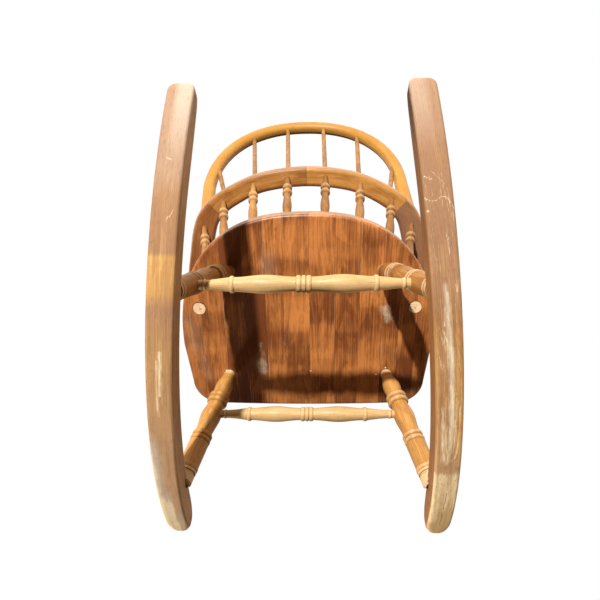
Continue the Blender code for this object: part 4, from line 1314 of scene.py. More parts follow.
@dataclass
class Stretchers:
    """The two turned stretchers between the pairs of legs, measured as the legs are."""

    workshop: Workshop
    lathe: Lathe
    legs: Legs
    front_drop: float = 0.1155
    rear_drop: float = 0.1970
    short_of_axis: float = 0.005
    tenon: float = 0.024
    middle_diameter: float = 0.030
    middle_ring: Place2 = (0.0022, 0.0298)
    groove: Place2 = (0.0021, 0.025)
    side_ring: Place2 = (0.0087, 0.030)
    belly: Place3 = (0.104, 0.0322, 0.025)
    end_ring: Place2 = (0.008, 0.0295)
    taper: Place2 = (0.024, 0.019)
    neck_diameter: float = 0.0162
    collar: Place2 = (0.006, 0.0186)
    sides: int = 48

    def profile(self, half_length: float) -> Turning:
        """Give a stretcher's turning, the same on both sides of its three middle rings.

        Args:
            half_length: From its middle to either end.

        Returns:
            The profile.
        """
        half = Turning(self.middle_diameter)
        half.straight(*self.middle_ring, worn=0.5, steps=3).straight(*self.groove, steps=5)
        half.bead(*self.side_ring, worn=0.5, grime=0.5)
        half.swell(*self.belly, steps=40, worn=0.15)
        half.bead(*self.end_ring, worn=0.5, grime=0.5)
        half.straight(*self.taper, steps=12)
        half_collar = self.collar[0] / 2
        half.straight(half_length - self.tenon - half.length - half_collar, self.neck_diameter, steps=10)
        half.bead(*self.collar, worn=0.6, grime=0.7).straight(self.tenon - half_collar)
        return half.mirrored()

    def build(self) -> None:
        """Turn both stretchers."""
        ends = {"front": (True, self.front_drop), "rear": (False, self.rear_drop)}
        for seed, (word, (front, drop)) in enumerate(ends.items(), start=31):
            foot, top = self.legs.line(front, Side.LEFT)
            place = top + (foot - top).normalized() * drop
            seating = Seating(STANCE.point((0.0, place.y, place.z)), Vector((1, 0, 0)))
            mesh = self.lathe.turn(self.profile(place.x - self.short_of_axis), [seating], self.sides, seed)
            self.workshop.finish_piece(f"stretcher_{word}", mesh, Finish.STRETCHER)


# Stains, rubbed places, painted sheen and painted shadows under the seat, by place to the rear and to the
# sitter's left
SEAT_MARKS = [
    Scuff(Paint.PALE, (-0.098, 0.105), (-0.118, 0.103), 0.016, 0.66),
    Scuff(Paint.PALE, (-0.050, 0.104), (-0.080, 0.101), 0.007, 0.45),
    Scuff(Paint.PALE, (0.036, -0.168), (0.012, -0.178), 0.014, 0.60),
    # Painted sheen: grey reflections of the varnish on the leftmost stave
    Scuff(Paint.FADE, (0.010, 0.258), (-0.060, 0.250), 0.016, 0.20),
    Scuff(Paint.FADE, (-0.090, 0.240), (-0.130, 0.228), 0.012, 0.18),
    Scuff(Paint.FADE, (0.150, 0.080), (0.110, 0.078), 0.014, 0.22),
    # Painted shadow over the front right corner, widening the cast shadow of the right leg and rocker
    Band(Paint.GRIME, -0.30, -0.060, 0.01, 0.07, 0.40, (-0.40, -0.196), 0.020),
    # Painted shadow: a faint band across the front, where the rear stretcher's cast shadow falls
    Scuff(Paint.GRIME, (-0.124, 0.150), (-0.124, -0.150), 0.020, 0.12),
    Band(Paint.TONE, -0.30, -0.090, 0.01, 0.05, 0.16, (0.150, 0.40), 0.012),
]


@dataclass
class Seat:
    """The glued-up seat: one saddled shape cut into staves, with the arm posts' holes through it.

    A run tells where a mark sets in and where it has its full strength.
    """

    workshop: Workshop
    underside: float = SEAT_UNDERSIDE
    thickness: float = 0.041
    half_width: float = 0.277
    widest_y: float = -0.050
    rear_y: float = 0.241
    fullness: float = 2.45
    front_y: float = -0.211
    corner_inset: float = 0.011
    corner_y: float = -0.207
    corner_radius: float = 0.060
    lower_edge: float = 0.006
    upper_edge: float = 0.010
    saddle_depth: float = 0.009
    saddle_rim: float = 0.045
    saddle_slope: float = 0.090
    pommel_width: float = 0.060
    left_widths: tuple = (0.046, 0.051, 0.046, 0.046)
    middle_seams: tuple = (0.049, -0.006, -0.061)
    right_widths: tuple = (0.039, 0.038, 0.036, 0.050)
    # Tones of the staves from the sitter's left; the third is darker partly as painted shadow, deepening the
    # left rocker's cast shadow on it
    tones: tuple = (0.0, -0.17, -0.40, -0.34, -0.04, 0.03, -0.05, -0.11, 0.09, -0.17, -0.10, 0.02)
    tone_lengths: tuple = (0.43, 0.26, 0.17)
    tone_swing: float = 0.085
    seam_gap: float = 0.0003
    seam_strip: float = 0.0020
    seam_paleness: Place2 = (0.20, 0.32)
    seam_waves: Place2 = (9.0, 2.4)
    tone_sharpness: float = 6.0
    top_tone_share: float = 0.25
    side_margins: Place2 = (0.002, 0.008)
    flank_run: Place2 = (0.0005, 0.004)
    glue_run: Place2 = (0.0001, 0.0005)
    rim_wear: float = 0.62
    rim_run: Place2 = (0.001, 0.006)
    rim_top_run: Place2 = (0.0, 0.012)
    rim_middle_y: float = 0.015
    rim_half_depth: float = 0.226
    rim_share_run: Place2 = (0.7, 0.8)
    glue_places: tuple = ((0.1855, -0.1169), (0.1622, -0.1241), (-0.0075, -0.1192), (-0.1564, -0.1279),
                          (-0.1769, -0.1109))
    glue_radius: float = 0.0020
    hollow_inset: float = 0.215
    edge_points: int = 8
    slope_points: int = 12
    hollow_points: int = 7
    grid_start: float = 0.008
    grid_step: float = 0.006
    grid_columns: int = 9

    @property
    def top(self) -> float:
        """Give the height of the seat's rim."""
        return self.underside + self.thickness

    def rear_point(self, angle: float, inset: float) -> Place2:
        """Give a point near the rear edge.

        Args:
            angle: Its angle from straight back.
            inset: How far it is moved in from the edge.

        Returns:
            Its X and Y in the chair frame.
        """
        depth = self.rear_y - inset - self.widest_y
        across, back = full_round_point(angle, self.half_width - inset, depth, self.fullness)
        return across, self.widest_y + back

    def outline(self, rear_steps: int = 180, corner_steps: int = 20, front_steps: int = 38) -> np.ndarray:
        """Draw the seat's plan: a full round rear, nearly straight sides, rounded front corners.

        Args:
            rear_steps: Steps round the rear.
            corner_steps: Points in each front corner.
            front_steps: Points along the front between the corners.

        Returns:
            The outline's points.
        """
        across, back = full_round(np.linspace(0.0, math.pi, rear_steps + 1), self.fullness)
        rear_reach = self.widest_y + (self.rear_y - self.widest_y) * back
        rear = evenly_spaced(np.stack([self.half_width * across, rear_reach], axis=1), rear_steps)
        radius = self.corner_radius
        centre_x, centre_y = self.half_width - self.corner_inset - radius, self.corner_y + radius
        turn = np.linspace(math.pi, 1.5 * math.pi, corner_steps)
        right = np.stack([radius * np.cos(turn) - centre_x, radius * np.sin(turn) + centre_y], axis=1)
        left = (right * (-1, 1))[::-1]
        front_x = np.linspace(right[-1, 0], left[0, 0], front_steps + 2)[1:-1]
        bulge = 1 - (front_x / centre_x) ** 2
        front = np.stack([front_x, self.corner_y + (self.front_y - self.corner_y) * bulge], axis=1)
        return np.concatenate([rear, right, front, left])

    def ring(self, outline: np.ndarray, inset: float, height: float, share: float = 0.0) -> np.ndarray:
        """Draw the outline smaller, at a height or down in the saddle.

        Args:
            outline: The seat's plan.
            inset: How far it is moved in.
            height: Its height.
            share: How far down the saddle's slope it lies.

        Returns:
            The ring's points.
        """
        middle, half_depth = (self.rear_y + self.front_y) / 2, (self.rear_y - self.front_y) / 2
        x = outline[:, 0] * (1 - inset / self.half_width)
        y = middle + (outline[:, 1] - middle) * (1 - inset / half_depth)
        front = np.clip(-y / abs(self.front_y), 0.0, 1.0)
        pommel = front * np.exp(-(x / self.pommel_width) ** 2)
        sunk = self.saddle_depth * share * share * (3 - 2 * share) * (1 - pommel)
        return np.stack([x, y, height - sunk], axis=1)

    def rings(self) -> np.ndarray:
        """Lay out the whole seat, from its underside round the edge to the hollow in its top.

        Returns:
            Rings of points in the chair frame.
        """
        outline = self.outline()
        low, high = self.lower_edge, self.upper_edge
        turn = np.linspace(0.0, math.pi / 2, self.edge_points)
        levels = [(low * (1 - math.sin(a)), self.underside + low * (1 - math.cos(a))) for a in turn]
        levels += [(high * (1 - math.cos(a)), self.top - high * (1 - math.sin(a))) for a in turn]
        for share in np.linspace(0.0, 1.0, self.slope_points):
            levels.append((self.saddle_rim + self.saddle_slope * share, self.top, share))
        hollow_edge = self.saddle_rim + self.saddle_slope
        for inset in np.linspace(hollow_edge, self.hollow_inset, self.hollow_points)[1:]:
            levels.append((inset, self.top, 1.0))
        return np.array([self.ring(outline, *level) for level in levels])

    def seams(self) -> list[float]:
        """Place the seams between the staves, from the sitter's left to the right.

        Returns:
            Their X, with an end beyond each side.
        """
        left = self.half_width - np.cumsum(self.left_widths)
        right = np.cumsum(self.right_widths) - self.half_width
        return [1.0, *left, *self.middle_seams, *right[::-1], -1.0]

    def whole(self) -> bmesh.types.BMesh:
        """Loft the whole seat and score it with a grid, so that wear can be painted on it.

        Returns:
            The seat's bmesh in the chair frame.
        """
        mesh = loft("seat_whole", self.rings(), {})
        bm = bmesh.new()
        bm.from_mesh(mesh)
        bpy.data.meshes.remove(mesh)
        for y in np.arange(self.front_y + self.grid_start, self.rear_y, self.grid_step):
            self.score(bm, (0, y, 0), (0, 1, 0))
        seams = self.seams()
        for high, low in zip(seams, seams[1:]):
            high, low = min(high, self.half_width), max(low, -self.half_width)
            columns = np.linspace(low, high, self.grid_columns + 1)[1:-1]
            for x in (low + self.seam_strip, *columns, high - self.seam_strip):
                self.score(bm, (x, 0, 0), (1, 0, 0))
        return bm

    @staticmethod
    def score(bm: bmesh.types.BMesh, point: Place3, normal: Place3, clear: bool = False) -> None:
        """Cut along a plane, and clear what lies behind it if wanted."""
        geometry = bm.verts[:] + bm.edges[:] + bm.faces[:]
        bmesh.ops.bisect_plane(bm, geom=geometry, plane_co=point, plane_no=normal, clear_inner=clear)

    def cut_flat(self, bm: bmesh.types.BMesh, x: float, way: int) -> None:
        """Cut away what lies on one side of a plane across X and close the cut."""
        self.score(bm, (x, 0, 0), (way, 0, 0), clear=True)
        bmesh.ops.triangle_fill(bm, edges=[edge for edge in bm.edges if edge.is_boundary], use_beauty=True)

    def build(self, posts: "ArmPosts") -> None:
        """Cut the staves, bore the posts' holes and dress each stave.

        Args:
            posts: Gives the holes' lines.
        """
        whole = self.whole()
        cutters = [posts.cutter(side) for side in Side]
        seams = self.seams()
        for index, (high, low) in enumerate(zip(seams, seams[1:]), start=1):
            bm = whole.copy()
            self.cut_flat(bm, low + self.seam_gap / 2, 1)
            self.cut_flat(bm, high - self.seam_gap / 2, -1)
            mesh = bpy.data.meshes.new(f"seat_stave_{index}")
            bm.to_mesh(mesh)
            bm.free()
            outward(mesh)
            mesh = self.bored(mesh, cutters)
            self.dress(mesh, index, high, low)
            self.workshop.finish_piece(f"seat_stave_{index}", mesh, Finish.SEAT)
        whole.free()
        for cutter in cutters:
            bpy.data.objects.remove(cutter, do_unlink=True)

    @staticmethod
    def bored(mesh: bpy.types.Mesh, cutters: list[bpy.types.Object]) -> bpy.types.Mesh:
        """Bore the cutters out of a mesh that they reach.

        Args:
            mesh: The stave, in the chair frame.
            cutters: The bars to cut with.

        Returns:
            The bored mesh, or the same one if no cutter reaches it.
        """
        x = [vert.co.x for vert in mesh.vertices]
        near = []
        for cutter in cutters:
            reach = [vert.co.x for vert in cutter.data.vertices]
            if max(reach) > min(x) and min(reach) < max(x):
                near.append(cutter)
        if not near:
            return mesh
        blank = linked_object("blank", mesh)
        for cutter in near:
            modifier = blank.modifiers.new("bore", "BOOLEAN")
            modifier.operation = "DIFFERENCE"
            modifier.object = cutter
        bpy.context.view_layer.update()
        depsgraph = bpy.context.evaluated_depsgraph_get()
        bored = bpy.data.meshes.new_from_object(blank.evaluated_get(depsgraph), depsgraph=depsgraph)
        bpy.data.objects.remove(blank, do_unlink=True)
        return bored

    def glue(self, mesh: bpy.types.Mesh, high: float, low: float) -> None:
        """Add the dried drops of glue that lie under one stave.

        Args:
            mesh: The stave, in the chair frame.
            high: Its seam to the left.
            low: Its seam to the right.
        """
        bm = bmesh.new()
        bm.from_mesh(mesh)
        for x, y in self.glue_places:
            if low < x < high:
                place = Matrix.Translation((x, y, self.underside - self.glue_radius / 4))
                bmesh.ops.create_icosphere(bm, subdivisions=2, radius=self.glue_radius, matrix=place)
        bm.to_mesh(mesh)
        bm.free()

    def dress(self, mesh: bpy.types.Mesh, index: int, high: float, low: float) -> None:
        """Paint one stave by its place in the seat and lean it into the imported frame.

        Args:
            mesh: The stave, in the chair frame.
            index: Its number, from the sitter's left.
            high: Its seam to the left.
            low: Its seam to the right.
        """
        self.glue(mesh, high, low)
        places = np.array([vert.co for vert in mesh.vertices])
        x, y, z = places.T
        height, depth = z - self.underside, self.top - z
        below = 1 - smooth(height, *self.flank_run)
        glue = smooth(-height, *self.glue_run)
        lower_margin, upper_margin = self.side_margins
        lower = 1 - smooth(z, self.underside + lower_margin, self.top - upper_margin)
        rim = smooth(height, *self.rim_run) * smooth(depth, *self.rim_top_run)
        outer = np.maximum(np.abs(x) / self.half_width, np.abs(y - self.rim_middle_y) / self.rim_half_depth)
        seam = 1 - smooth(np.minimum(high - x, x - low), 0.0, self.seam_strip)
        channels = {paint: values * below for paint, values in painted(SEAT_MARKS, y, x).items()}
        faint, strong = self.seam_paleness
        along, apart = self.seam_waves
        broken = faint + strong * np.sin(along * y + apart * index) ** 4
        strengthen(channels, Paint.PALE, np.maximum(broken * seam * below, glue))
        strengthen(channels, Paint.WORN, self.rim_wear * rim * smooth(outer, *self.rim_share_run))
        dice = np.random.default_rng(100 + index)
        channels[Paint.TONE] += self.tones[index - 1]
        swing = self.tone_swing * (self.top_tone_share + (1 - self.top_tone_share) * lower)
        for length in self.tone_lengths:
            wave = np.sin(math.tau * (y / length + dice.uniform()))
            channels[Paint.TONE] += swing * np.tanh(self.tone_sharpness * wave)
        channels[Paint.WOOD] = np.stack([x, z, y], axis=1) + dice.uniform(-0.5, 0.5, 3)
        paint_mesh(mesh, channels)
        mesh.transform(STANCE.matrix)


@dataclass
class ArmRail:
    """The low rail round the sitter: two backs and two arms, glued end to end."""

    workshop: Workshop
    path: tuple = ((0.0, 0.2825, 0.047), (0.0745, 0.2765, 0.047), (0.1385, 0.2605, 0.047),
                   (0.2090, 0.2240, 0.050), (0.2455, 0.1900, 0.054), (0.2640, 0.1490, 0.057),
                   (0.2810, 0.0710, 0.058), (0.2930, 0.0, 0.064), (0.3060, -0.0780, 0.074))
    underside: float = 0.5593
    thickness: float = 0.032
    edge: float = 0.011
    joint: float = 0.248
    tip_round: float = 0.040
    joint_gap: float = 0.0003
    joint_edge: float = 0.0006
    joint_share: float = 0.985
    tip_share: float = 0.985
    tip_points: int = 26
    run_points: int = 90
    flat_points: tuple = (11, 5)
    edge_points: int = 7
    outer_wear: float = 0.62
    outer_run: Place2 = (0.33, 0.47)
    board_width: float = 0.05
    fine: int = 40
    samples: np.ndarray = field(init=False)

    def __post_init__(self) -> None:
        """Sample the rail's centre line finely, by a smooth curve through its points."""
        points = np.array(self.path)
        lead_in = points[1] * (-1, 1, 1)
        lead_out = 2 * points[-1] - points[-2]
        points = np.vstack([lead_in, points, lead_out])
        t = (np.arange(self.fine) / self.fine)[:, None]
        runs = []
        for p0, p1, p2, p3 in zip(points, points[1:], points[2:], points[3:]):
            runs.append(0.5 * (2 * p1 + (p2 - p0) * t + (2 * p0 - 5 * p1 + 4 * p2 - p3) * t ** 2
                               + (3 * p1 - p0 - 3 * p2 + p3) * t ** 3))
        places = np.vstack([*runs, points[-2]])
        ahead = np.gradient(places[:, :2], axis=0)
        ahead[0] = (1.0, 0.0)
        outward_way = np.stack([-ahead[:, 1], ahead[:, 0]], axis=1)
        outward_way /= np.linalg.norm(outward_way, axis=1)[:, None]
        self.samples = np.column_stack([run_lengths(places[:, :2]), places, outward_way])

    @property
    def top(self) -> float:
        """Give the height of the rail's top."""
        return self.underside + self.thickness

    def place(self, distance: float) -> np.ndarray:
        """Give x, y, width and the outward direction at a distance along the left half."""
        return np.array([np.interp(distance, self.samples[:, 0], column) for column in self.samples.T[1:]])

    def piece(self, name: str, side: Side, stations: list[Place2], finish: Finish, tone: float,
              fade: float = 0.0) -> None:
        """Saw and dress one piece of the rail.

        Args:
            name: The node that it stands for.
            side: Its side.
            stations: Distances along the rail, each with its share of the full section.
            finish: Its finish.
            tone: How light the board is.
            fade: How far its colour has gone pale with age.
        """
        rings, across, up, along = [], [], [], []
        for distance, share in stations:
            x, y, width, out_x, out_y = self.place(distance)
            tall = self.thickness * min(1.0, self.joint_share + (1 - self.joint_share) * share)
            ring = rounded_ring(width * share, tall, self.edge, self.flat_points, self.edge_points)
            px, py = x + out_x * ring[:, 0], y + out_y * ring[:, 0]
            pz = self.underside + self.thickness / 2 + ring[:, 1]
            rings.append(np.stack([side.value * px, py, pz], axis=1))
            across.append(ring[:, 0] / width)
            up.append(ring[:, 1])
            along.append(np.full(len(ring), distance))
        rings, across, up, along = np.array(rings), np.array(across), np.array(up), np.array(along)
        channels = {Paint.WORN: self.outer_wear * smooth(across, *self.outer_run)}
        channels[Paint.TONE] = np.full_like(across, tone)
        channels[Paint.FADE] = np.full_like(across, fade)
        dice = np.random.default_rng(200 + len(name) + side.value)
        board = np.stack([across * self.board_width, up, along], axis=-1)
        channels[Paint.WOOD] = board + dice.uniform(-0.5, 0.5, 3)
        mesh = loft(name, STANCE.points(rings), channels)
        self.workshop.finish_piece(name, mesh, finish)

    def build(self) -> None:
        """Saw the four pieces, each with its own tone."""
        round_start = self.samples[-1, 0] - self.tip_round
        edge, cut = self.joint_edge, self.joint_share
        looks = ((Side.LEFT, -0.09, -0.02, 0.0), (Side.RIGHT, 0.14, -0.10, 0.20))
        for side, back_tone, arm_tone, arm_fade in looks:
            start, end = self.joint_gap / 2, self.joint - self.joint_gap / 2
            run = np.linspace(start + edge, end - edge, self.run_points)
            back = [(start, cut), *((distance, 1.0) for distance in run), (end, cut)]
            self.piece(f"arm_rail_back_{side.word}", side, back, Finish.RAIL, back_tone)
            start = self.joint + self.joint_gap / 2
            run = np.linspace(start + edge, round_start, self.run_points)
            arm = [(start, cut), *((distance, 1.0) for distance in run)]
            for angle in np.linspace(0.0, self.tip_share, self.tip_points)[1:] * math.pi / 2:
                arm.append((round_start + self.tip_round * math.sin(angle), math.cos(angle)))
            self.piece(f"arm_{side.word}", side, arm, Finish.ARM, arm_tone, arm_fade)


@dataclass
class ArmSpindles:
    """The eight short turned spindles between the seat and the rail.

    Tones go from the middle outwards, on the left and then on the right. The belly is given by its peak and
    end diameters and the peak's share of its length, a ring or a taper by its length and its diameter.
    """

    workshop: Workshop
    lathe: Lathe
    seat: Seat
    rail: ArmRail
    first: float = 0.046
    spacing: float = 0.086
    per_side: int = 4
    inset: float = 0.030
    spread: float = 1.10
    sides: int = 32
    seed: int = 51
    tones: tuple = (-0.20, 0.20, 0.00, -0.12, -0.32, -0.10, -0.29, -0.28)
    foot_tenon: float = 0.018
    top_tenon: float = 0.016
    tenon_diameter: float = 0.012
    neck: float = 0.005
    belly: Place3 = (0.0205, 0.0155, 0.6)
    ring: Place2 = (0.017, 0.0225)
    ring_gap: float = 0.006
    taper: Place2 = (0.034, 0.0115)

    def ends(self, index: int, side: Side) -> tuple[Vector, Vector]:
        """Place a spindle's axis in the chair frame.

        Args:
            index: Its number from the middle, from 0.
            side: Its side.

        Returns:
            The axis's ends on the seat's top and on the rail's underside.
        """
        x, y = self.rail.place(self.first + index * self.spacing)[:2]
        angle = math.atan2(x, y - self.seat.widest_y) * self.spread
        foot_x, foot_y = self.seat.rear_point(angle, self.inset)
        return (Vector((side.value * foot_x, foot_y, self.seat.top)),
                Vector((side.value * x, y, self.rail.underside)))

    def profile(self, length: float) -> Turning:
        """Give a spindle's turning, up from the seat's top.

        Args:
            length: From the seat's top to the rail's underside.

        Returns:
            The profile.
        """
        turning = Turning(self.tenon_diameter).straight(self.foot_tenon + self.neck)
        belly = length - 2 * self.neck - 2 * self.ring[0] - self.ring_gap - self.taper[0]
        turning.swell(belly, *self.belly, worn=0.30)
        turning.bead(*self.ring, worn=0.70, grime=0.75).straight(self.ring_gap)
        turning.bead(*self.ring, worn=0.70, grime=0.75)
        turning.straight(*self.taper, worn=0.25, steps=12).straight(self.neck + self.top_tenon)
        return turning.moved(self.foot_tenon)

    def build(self) -> None:
        """Turn the eight spindles as one piece."""
        lines = [(side, index, *self.ends(index, side)) for side in Side for index in range(self.per_side)]
        length = float(np.mean([(top - foot).length for _, _, foot, top in lines]))
        seatings = []
        for (_, _, foot, top), tone in zip(lines, self.tones):
            axis = STANCE.direction((top - foot).normalized())
            seatings.append(Seating(STANCE.point(foot), axis, (top - foot).length / length, tone))
        mesh = self.lathe.turn(self.profile(length), seatings, self.sides, self.seed)
        nodes = tuple(f"arm_spindle_{side.word}_{index + 1}" for side, index, _, _ in lines)
        self.workshop.finish_piece("arm_spindles", mesh, Finish.SPINDLE, nodes)


@dataclass
class ArmPosts:
    """The two turned posts under the arms, wedged right through the seat.

    The vase is given by its peak and end diameters and the peak's share of its length, a ring or a taper by
    its length and its diameter.
    """

    workshop: Workshop
    lathe: Lathe
    seat: Seat
    rail: ArmRail
    spindles: ArmSpindles
    foot_inset: float = 0.0436
    foot_y: float = 0.0382
    spacing: float = 0.112
    tenon_diameter: float = 0.0264
    hole_diameter: float = 0.0290
    hole_nudge: float = 0.0006
    bar_length: float = 0.2
    blank_length: float = 0.006
    proud: float = 0.0008
    chip_depth: float = 0.0011
    end_core: float = 0.0006
    end_ring: float = 0.004
    end_rings: int = 9
    end_step: float = 0.00002
    end_paleness: float = 0.95
    fine_length: float = 0.030
    above_seat: float = 0.010
    foot_ring: Place2 = (0.012, 0.035)
    waist: float = 0.022
    vase: Place3 = (0.036, 0.022, 0.4)
    top_ring: Place2 = (0.012, 0.030)
    taper: Place2 = (0.035, 0.019)
    neck: float = 0.005
    top_tenon: float = 0.018
    tone: float = 0.05
    sides: int = 48

    def ends(self, side: Side) -> tuple[Vector, Vector]:
        """Place a post's axis in the chair frame.

        Args:
            side: Its side.

        Returns:
            The axis's ends on the seat's underside and on the arm's underside.
        """
        reach = self.spindles.first + (self.spindles.per_side - 1) * self.spindles.spacing + self.spacing
        x, y = self.rail.place(reach)[:2]
        foot_x = self.seat.half_width - self.foot_inset
        foot = Vector((side.value * foot_x, self.foot_y, self.seat.underside))
        return foot, Vector((side.value * x, y, self.rail.underside))

    def cutter(self, side: Side) -> bpy.types.Object:
        """Make the bar that bores a post's hole through the seat.

        Args:
            side: The post's side.

        Returns:
            The bar, in the chair frame.
        """
        foot, top = self.ends(side)
        turn = (top - foot).normalized().to_track_quat("Z", "Y").to_matrix().to_4x4()
        nudge = Vector((side.value * -self.hole_nudge, self.hole_nudge, 0.0))
        bm = bmesh.new()
        bmesh.ops.create_cone(bm, cap_ends=True, segments=self.sides, radius1=self.hole_diameter / 2,
                              radius2=self.hole_diameter / 2, depth=self.bar_length)
        bm.transform(Matrix.Translation(foot + nudge) @ turn)
        mesh = bpy.data.meshes.new("bore")
        bm.to_mesh(mesh)
        bm.free()
        return linked_object("bore", mesh)

    def profile(self, length: float) -> Turning:
        """Give a post's turning, up from the seat's underside, with a sawn end of many rings.

        Args:
            length: From the seat's underside to the arm's underside.

        Returns:
            The profile.
        """
        turning = Turning(self.end_core)
        for diameter in np.linspace(self.end_ring, self.tenon_diameter, self.end_rings):
            turning.add(self.end_step, diameter / 2)
        turning.straight(self.fine_length, steps=14)
        turning.straight(self.seat.thickness - self.fine_length + self.above_seat)
        turning.bead(*self.foot_ring).step(self.waist)
        vase = length - turning.length - self.top_ring[0] - self.taper[0] - self.neck
        turning.swell(vase, *self.vase, worn=0.15)
        turning.bead(*self.top_ring)
        return turning.straight(*self.taper, steps=12).straight(self.neck + self.top_tenon)

    def build(self) -> None:
        """Turn both posts and trim each nearly flush below the seat."""
        up = STANCE.direction((0, 0, 1))
        for seed, side in enumerate(Side, start=61):
            foot, top = self.ends(side)
            axis = STANCE.direction((top - foot).normalized())
            seating = Seating(STANCE.point(foot) - axis * self.blank_length, axis, tone=self.tone)
            mesh = self.lathe.turn(self.profile((top - foot).length), [seating], self.sides, seed)
            self.trim(mesh, STANCE.point(foot), up, seed)
            self.workshop.finish_piece(f"arm_post_{side.word}", mesh, Finish.SPINDLE)

    def trim(self, mesh: bpy.types.Mesh, foot: Vector, up: Vector, seed: int) -> None:
        """Saw a post's lower end by the seat's underside, with chips out of its end grain.

        Args:
            mesh: The post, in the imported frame.
            foot: Where its axis meets the seat's underside.
            up: The way up, square to the seat.
            seed: Fixes the chips.
        """
        dice = np.random.default_rng(seed)
        pale = np.zeros(len(mesh.vertices), np.float32)
        for vert in mesh.vertices:
            gap = (vert.co - foot).dot(up)
            if gap < -self.proud:
                vert.co += up * (-self.proud - gap + dice.uniform(0.0, self.chip_depth))
                pale[vert.index] = self.end_paleness
        store_layer(mesh, Paint.PALE.value, pale)


@dataclass
class Back:
    """The bent bow of the back and its six plain dowels.

    A run tells where a mark sets in and where it has its full strength.
    """

    workshop: Workshop
    lathe: Lathe
    rail: ArmRail
    spindles: ArmSpindles
    foot_y: float = 0.1896
    lean: float = math.radians(27.5)
    foot_half_span: float = 0.257
    half_span: float = 0.2595
    shift: float = 0.0075
    spring: float = 0.110
    rise: float = 0.301
    fullness: float = 2.2
    width: float = 0.033
    depth: float = 0.034
    edge: float = 0.0148
    bearings: tuple = (math.radians(10.55), math.radians(31.81), math.radians(67.73))
    dowel_diameter: float = 0.012
    fine_points: int = 900
    flat_points: tuple = (9, 11)
    edge_points: int = 7
    board_places: Place2 = (0.2, -0.3)
    tone: float = 0.03
    # Painted light on the bow's inner side, and painted shade along its inner front edge
    turned_tone: float = 0.06
    turned_run: Place2 = (0.0030, 0.0100)
    inner_tone: float = -0.60
    inner_grime: float = 0.85
    inner_run: Place2 = (0.0070, 0.0130)
    front_run: Place2 = (0.0020, 0.0085)
    wear: float = 0.15
    wear_run: Place2 = (0.010, 0.0165)
    dowel_short: float = 0.002
    dowel_tenon: float = 0.03
    dowel_sides: int = 28
    foot_gap: float = 0.0003
    steps: int = 260

    def plane_point(self, across: float, height: float) -> Vector:
        """Give the chair-frame point at a place in the bow's leaning plane."""
        back, up = height * math.sin(self.lean), height * math.cos(self.lean)
        return Vector((across, self.foot_y + back, self.rail.top + up))

    def bow_path(self) -> np.ndarray:
        """Draw the bow's centre line in its plane, evenly spaced, from the right foot to the left.

        Returns:
            Places across and up.
        """
        across, up = full_round(np.linspace(0.0, math.pi, self.fine_points), self.fullness)
        arch = np.stack([self.shift - self.half_span * across, self.spring + self.rise * up], axis=1)
        right, left = (-self.foot_half_span, 0.0), (self.foot_half_span, 0.0)
        return evenly_spaced(np.vstack([right, arch, left]), self.steps)

    def build_bow(self) -> None:
        """Bend and dress the bow, with painted light on its inner side and painted shade along its inner
        front edge.
        """
        path = self.bow_path()
        ahead = np.gradient(path, axis=0)
        ahead /= np.linalg.norm(ahead, axis=1)[:, None]
        section = rounded_ring(self.width, self.depth, self.edge, self.flat_points, self.edge_points)
        normal = np.array([0.0, math.cos(self.lean), -math.sin(self.lean)])
        lifted = np.array([0.0, math.sin(self.lean), math.cos(self.lean)])
        sideways = np.array([1.0, 0.0, 0.0])
        base = np.array(self.plane_point(0.0, 0.0))
        rings = []
        for place, way in zip(path, ahead):
            centre = base + sideways * place[0] + lifted * place[1]
            radial = -sideways * way[1] + lifted * way[0]
            rings.append(centre + np.outer(section[:, 0], radial) + np.outer(section[:, 1], normal))
        rings = np.array(rings)
        for end, nearer in ((0, 1), (-1, -2)):
            slope = rings[end] - rings[nearer]
            reach = (self.rail.top + self.foot_gap - rings[nearer][:, 2]) / slope[:, 2]
            rings[end] = rings[nearer] + slope * reach[:, None]
        along = run_lengths(path)[:, None] + np.zeros((len(rings), len(section)))
        across = np.broadcast_to(section[:, 0], along.shape)
        deep = np.broadcast_to(section[:, 1], along.shape)
        # Painted light lifts the inner side, and painted shade darkens its inner front edge
        turned = smooth(-across, *self.turned_run)
        inner = smooth(-across, *self.inner_run) * smooth(-deep, *self.front_run)
        board_x, board_y = self.board_places
        channels = {Paint.WOOD: np.stack([across + board_x, deep + board_y, along], axis=-1),
                    Paint.TONE: self.tone + self.turned_tone * turned + self.inner_tone * inner,
                    Paint.GRIME: self.inner_grime * inner,
                    Paint.WORN: self.wear * smooth(np.abs(deep), *self.wear_run)}
        mesh = loft("back_bow", STANCE.points(rings), channels)
        self.workshop.finish_piece("back_bow", mesh, Finish.BOW)

    def build_dowels(self) -> None:
        """Fit the six dowels as one piece, each a turning of unit length that is stretched to its own."""
        seatings, nodes = [], []
        dice = np.random.default_rng(9)
        for side in Side:
            for index, bearing in enumerate(self.bearings):
                x, y = self.rail.place(self.spindles.first + index * self.spindles.spacing)[:2]
                foot = Vector((side.value * x, y, self.rail.top))
                across, up = full_round_point(bearing, self.half_span, self.rise, self.fullness)
                top = self.plane_point(self.shift + side.value * across, self.spring + up)
                axis = STANCE.direction((top - foot).normalized())
                length = (top - foot).length - self.dowel_short
                seatings.append(Seating(STANCE.point(foot), axis, length, dice.uniform(-0.16, 0.02)))
                nodes.append(f"back_dowel_{side.word}_{index + 1}")
        turning = Turning(self.dowel_diameter).straight(1.0 + self.dowel_tenon, worn=0.15, steps=40)
        mesh = self.lathe.turn(turning.moved(self.dowel_tenon), seatings, self.dowel_sides, seed=71)
        self.workshop.finish_piece("back_dowels", mesh, Finish.SPINDLE, tuple(nodes))

    def build(self) -> None:
        """Make the bow and its dowels."""
        self.build_bow()
        self.build_dowels()


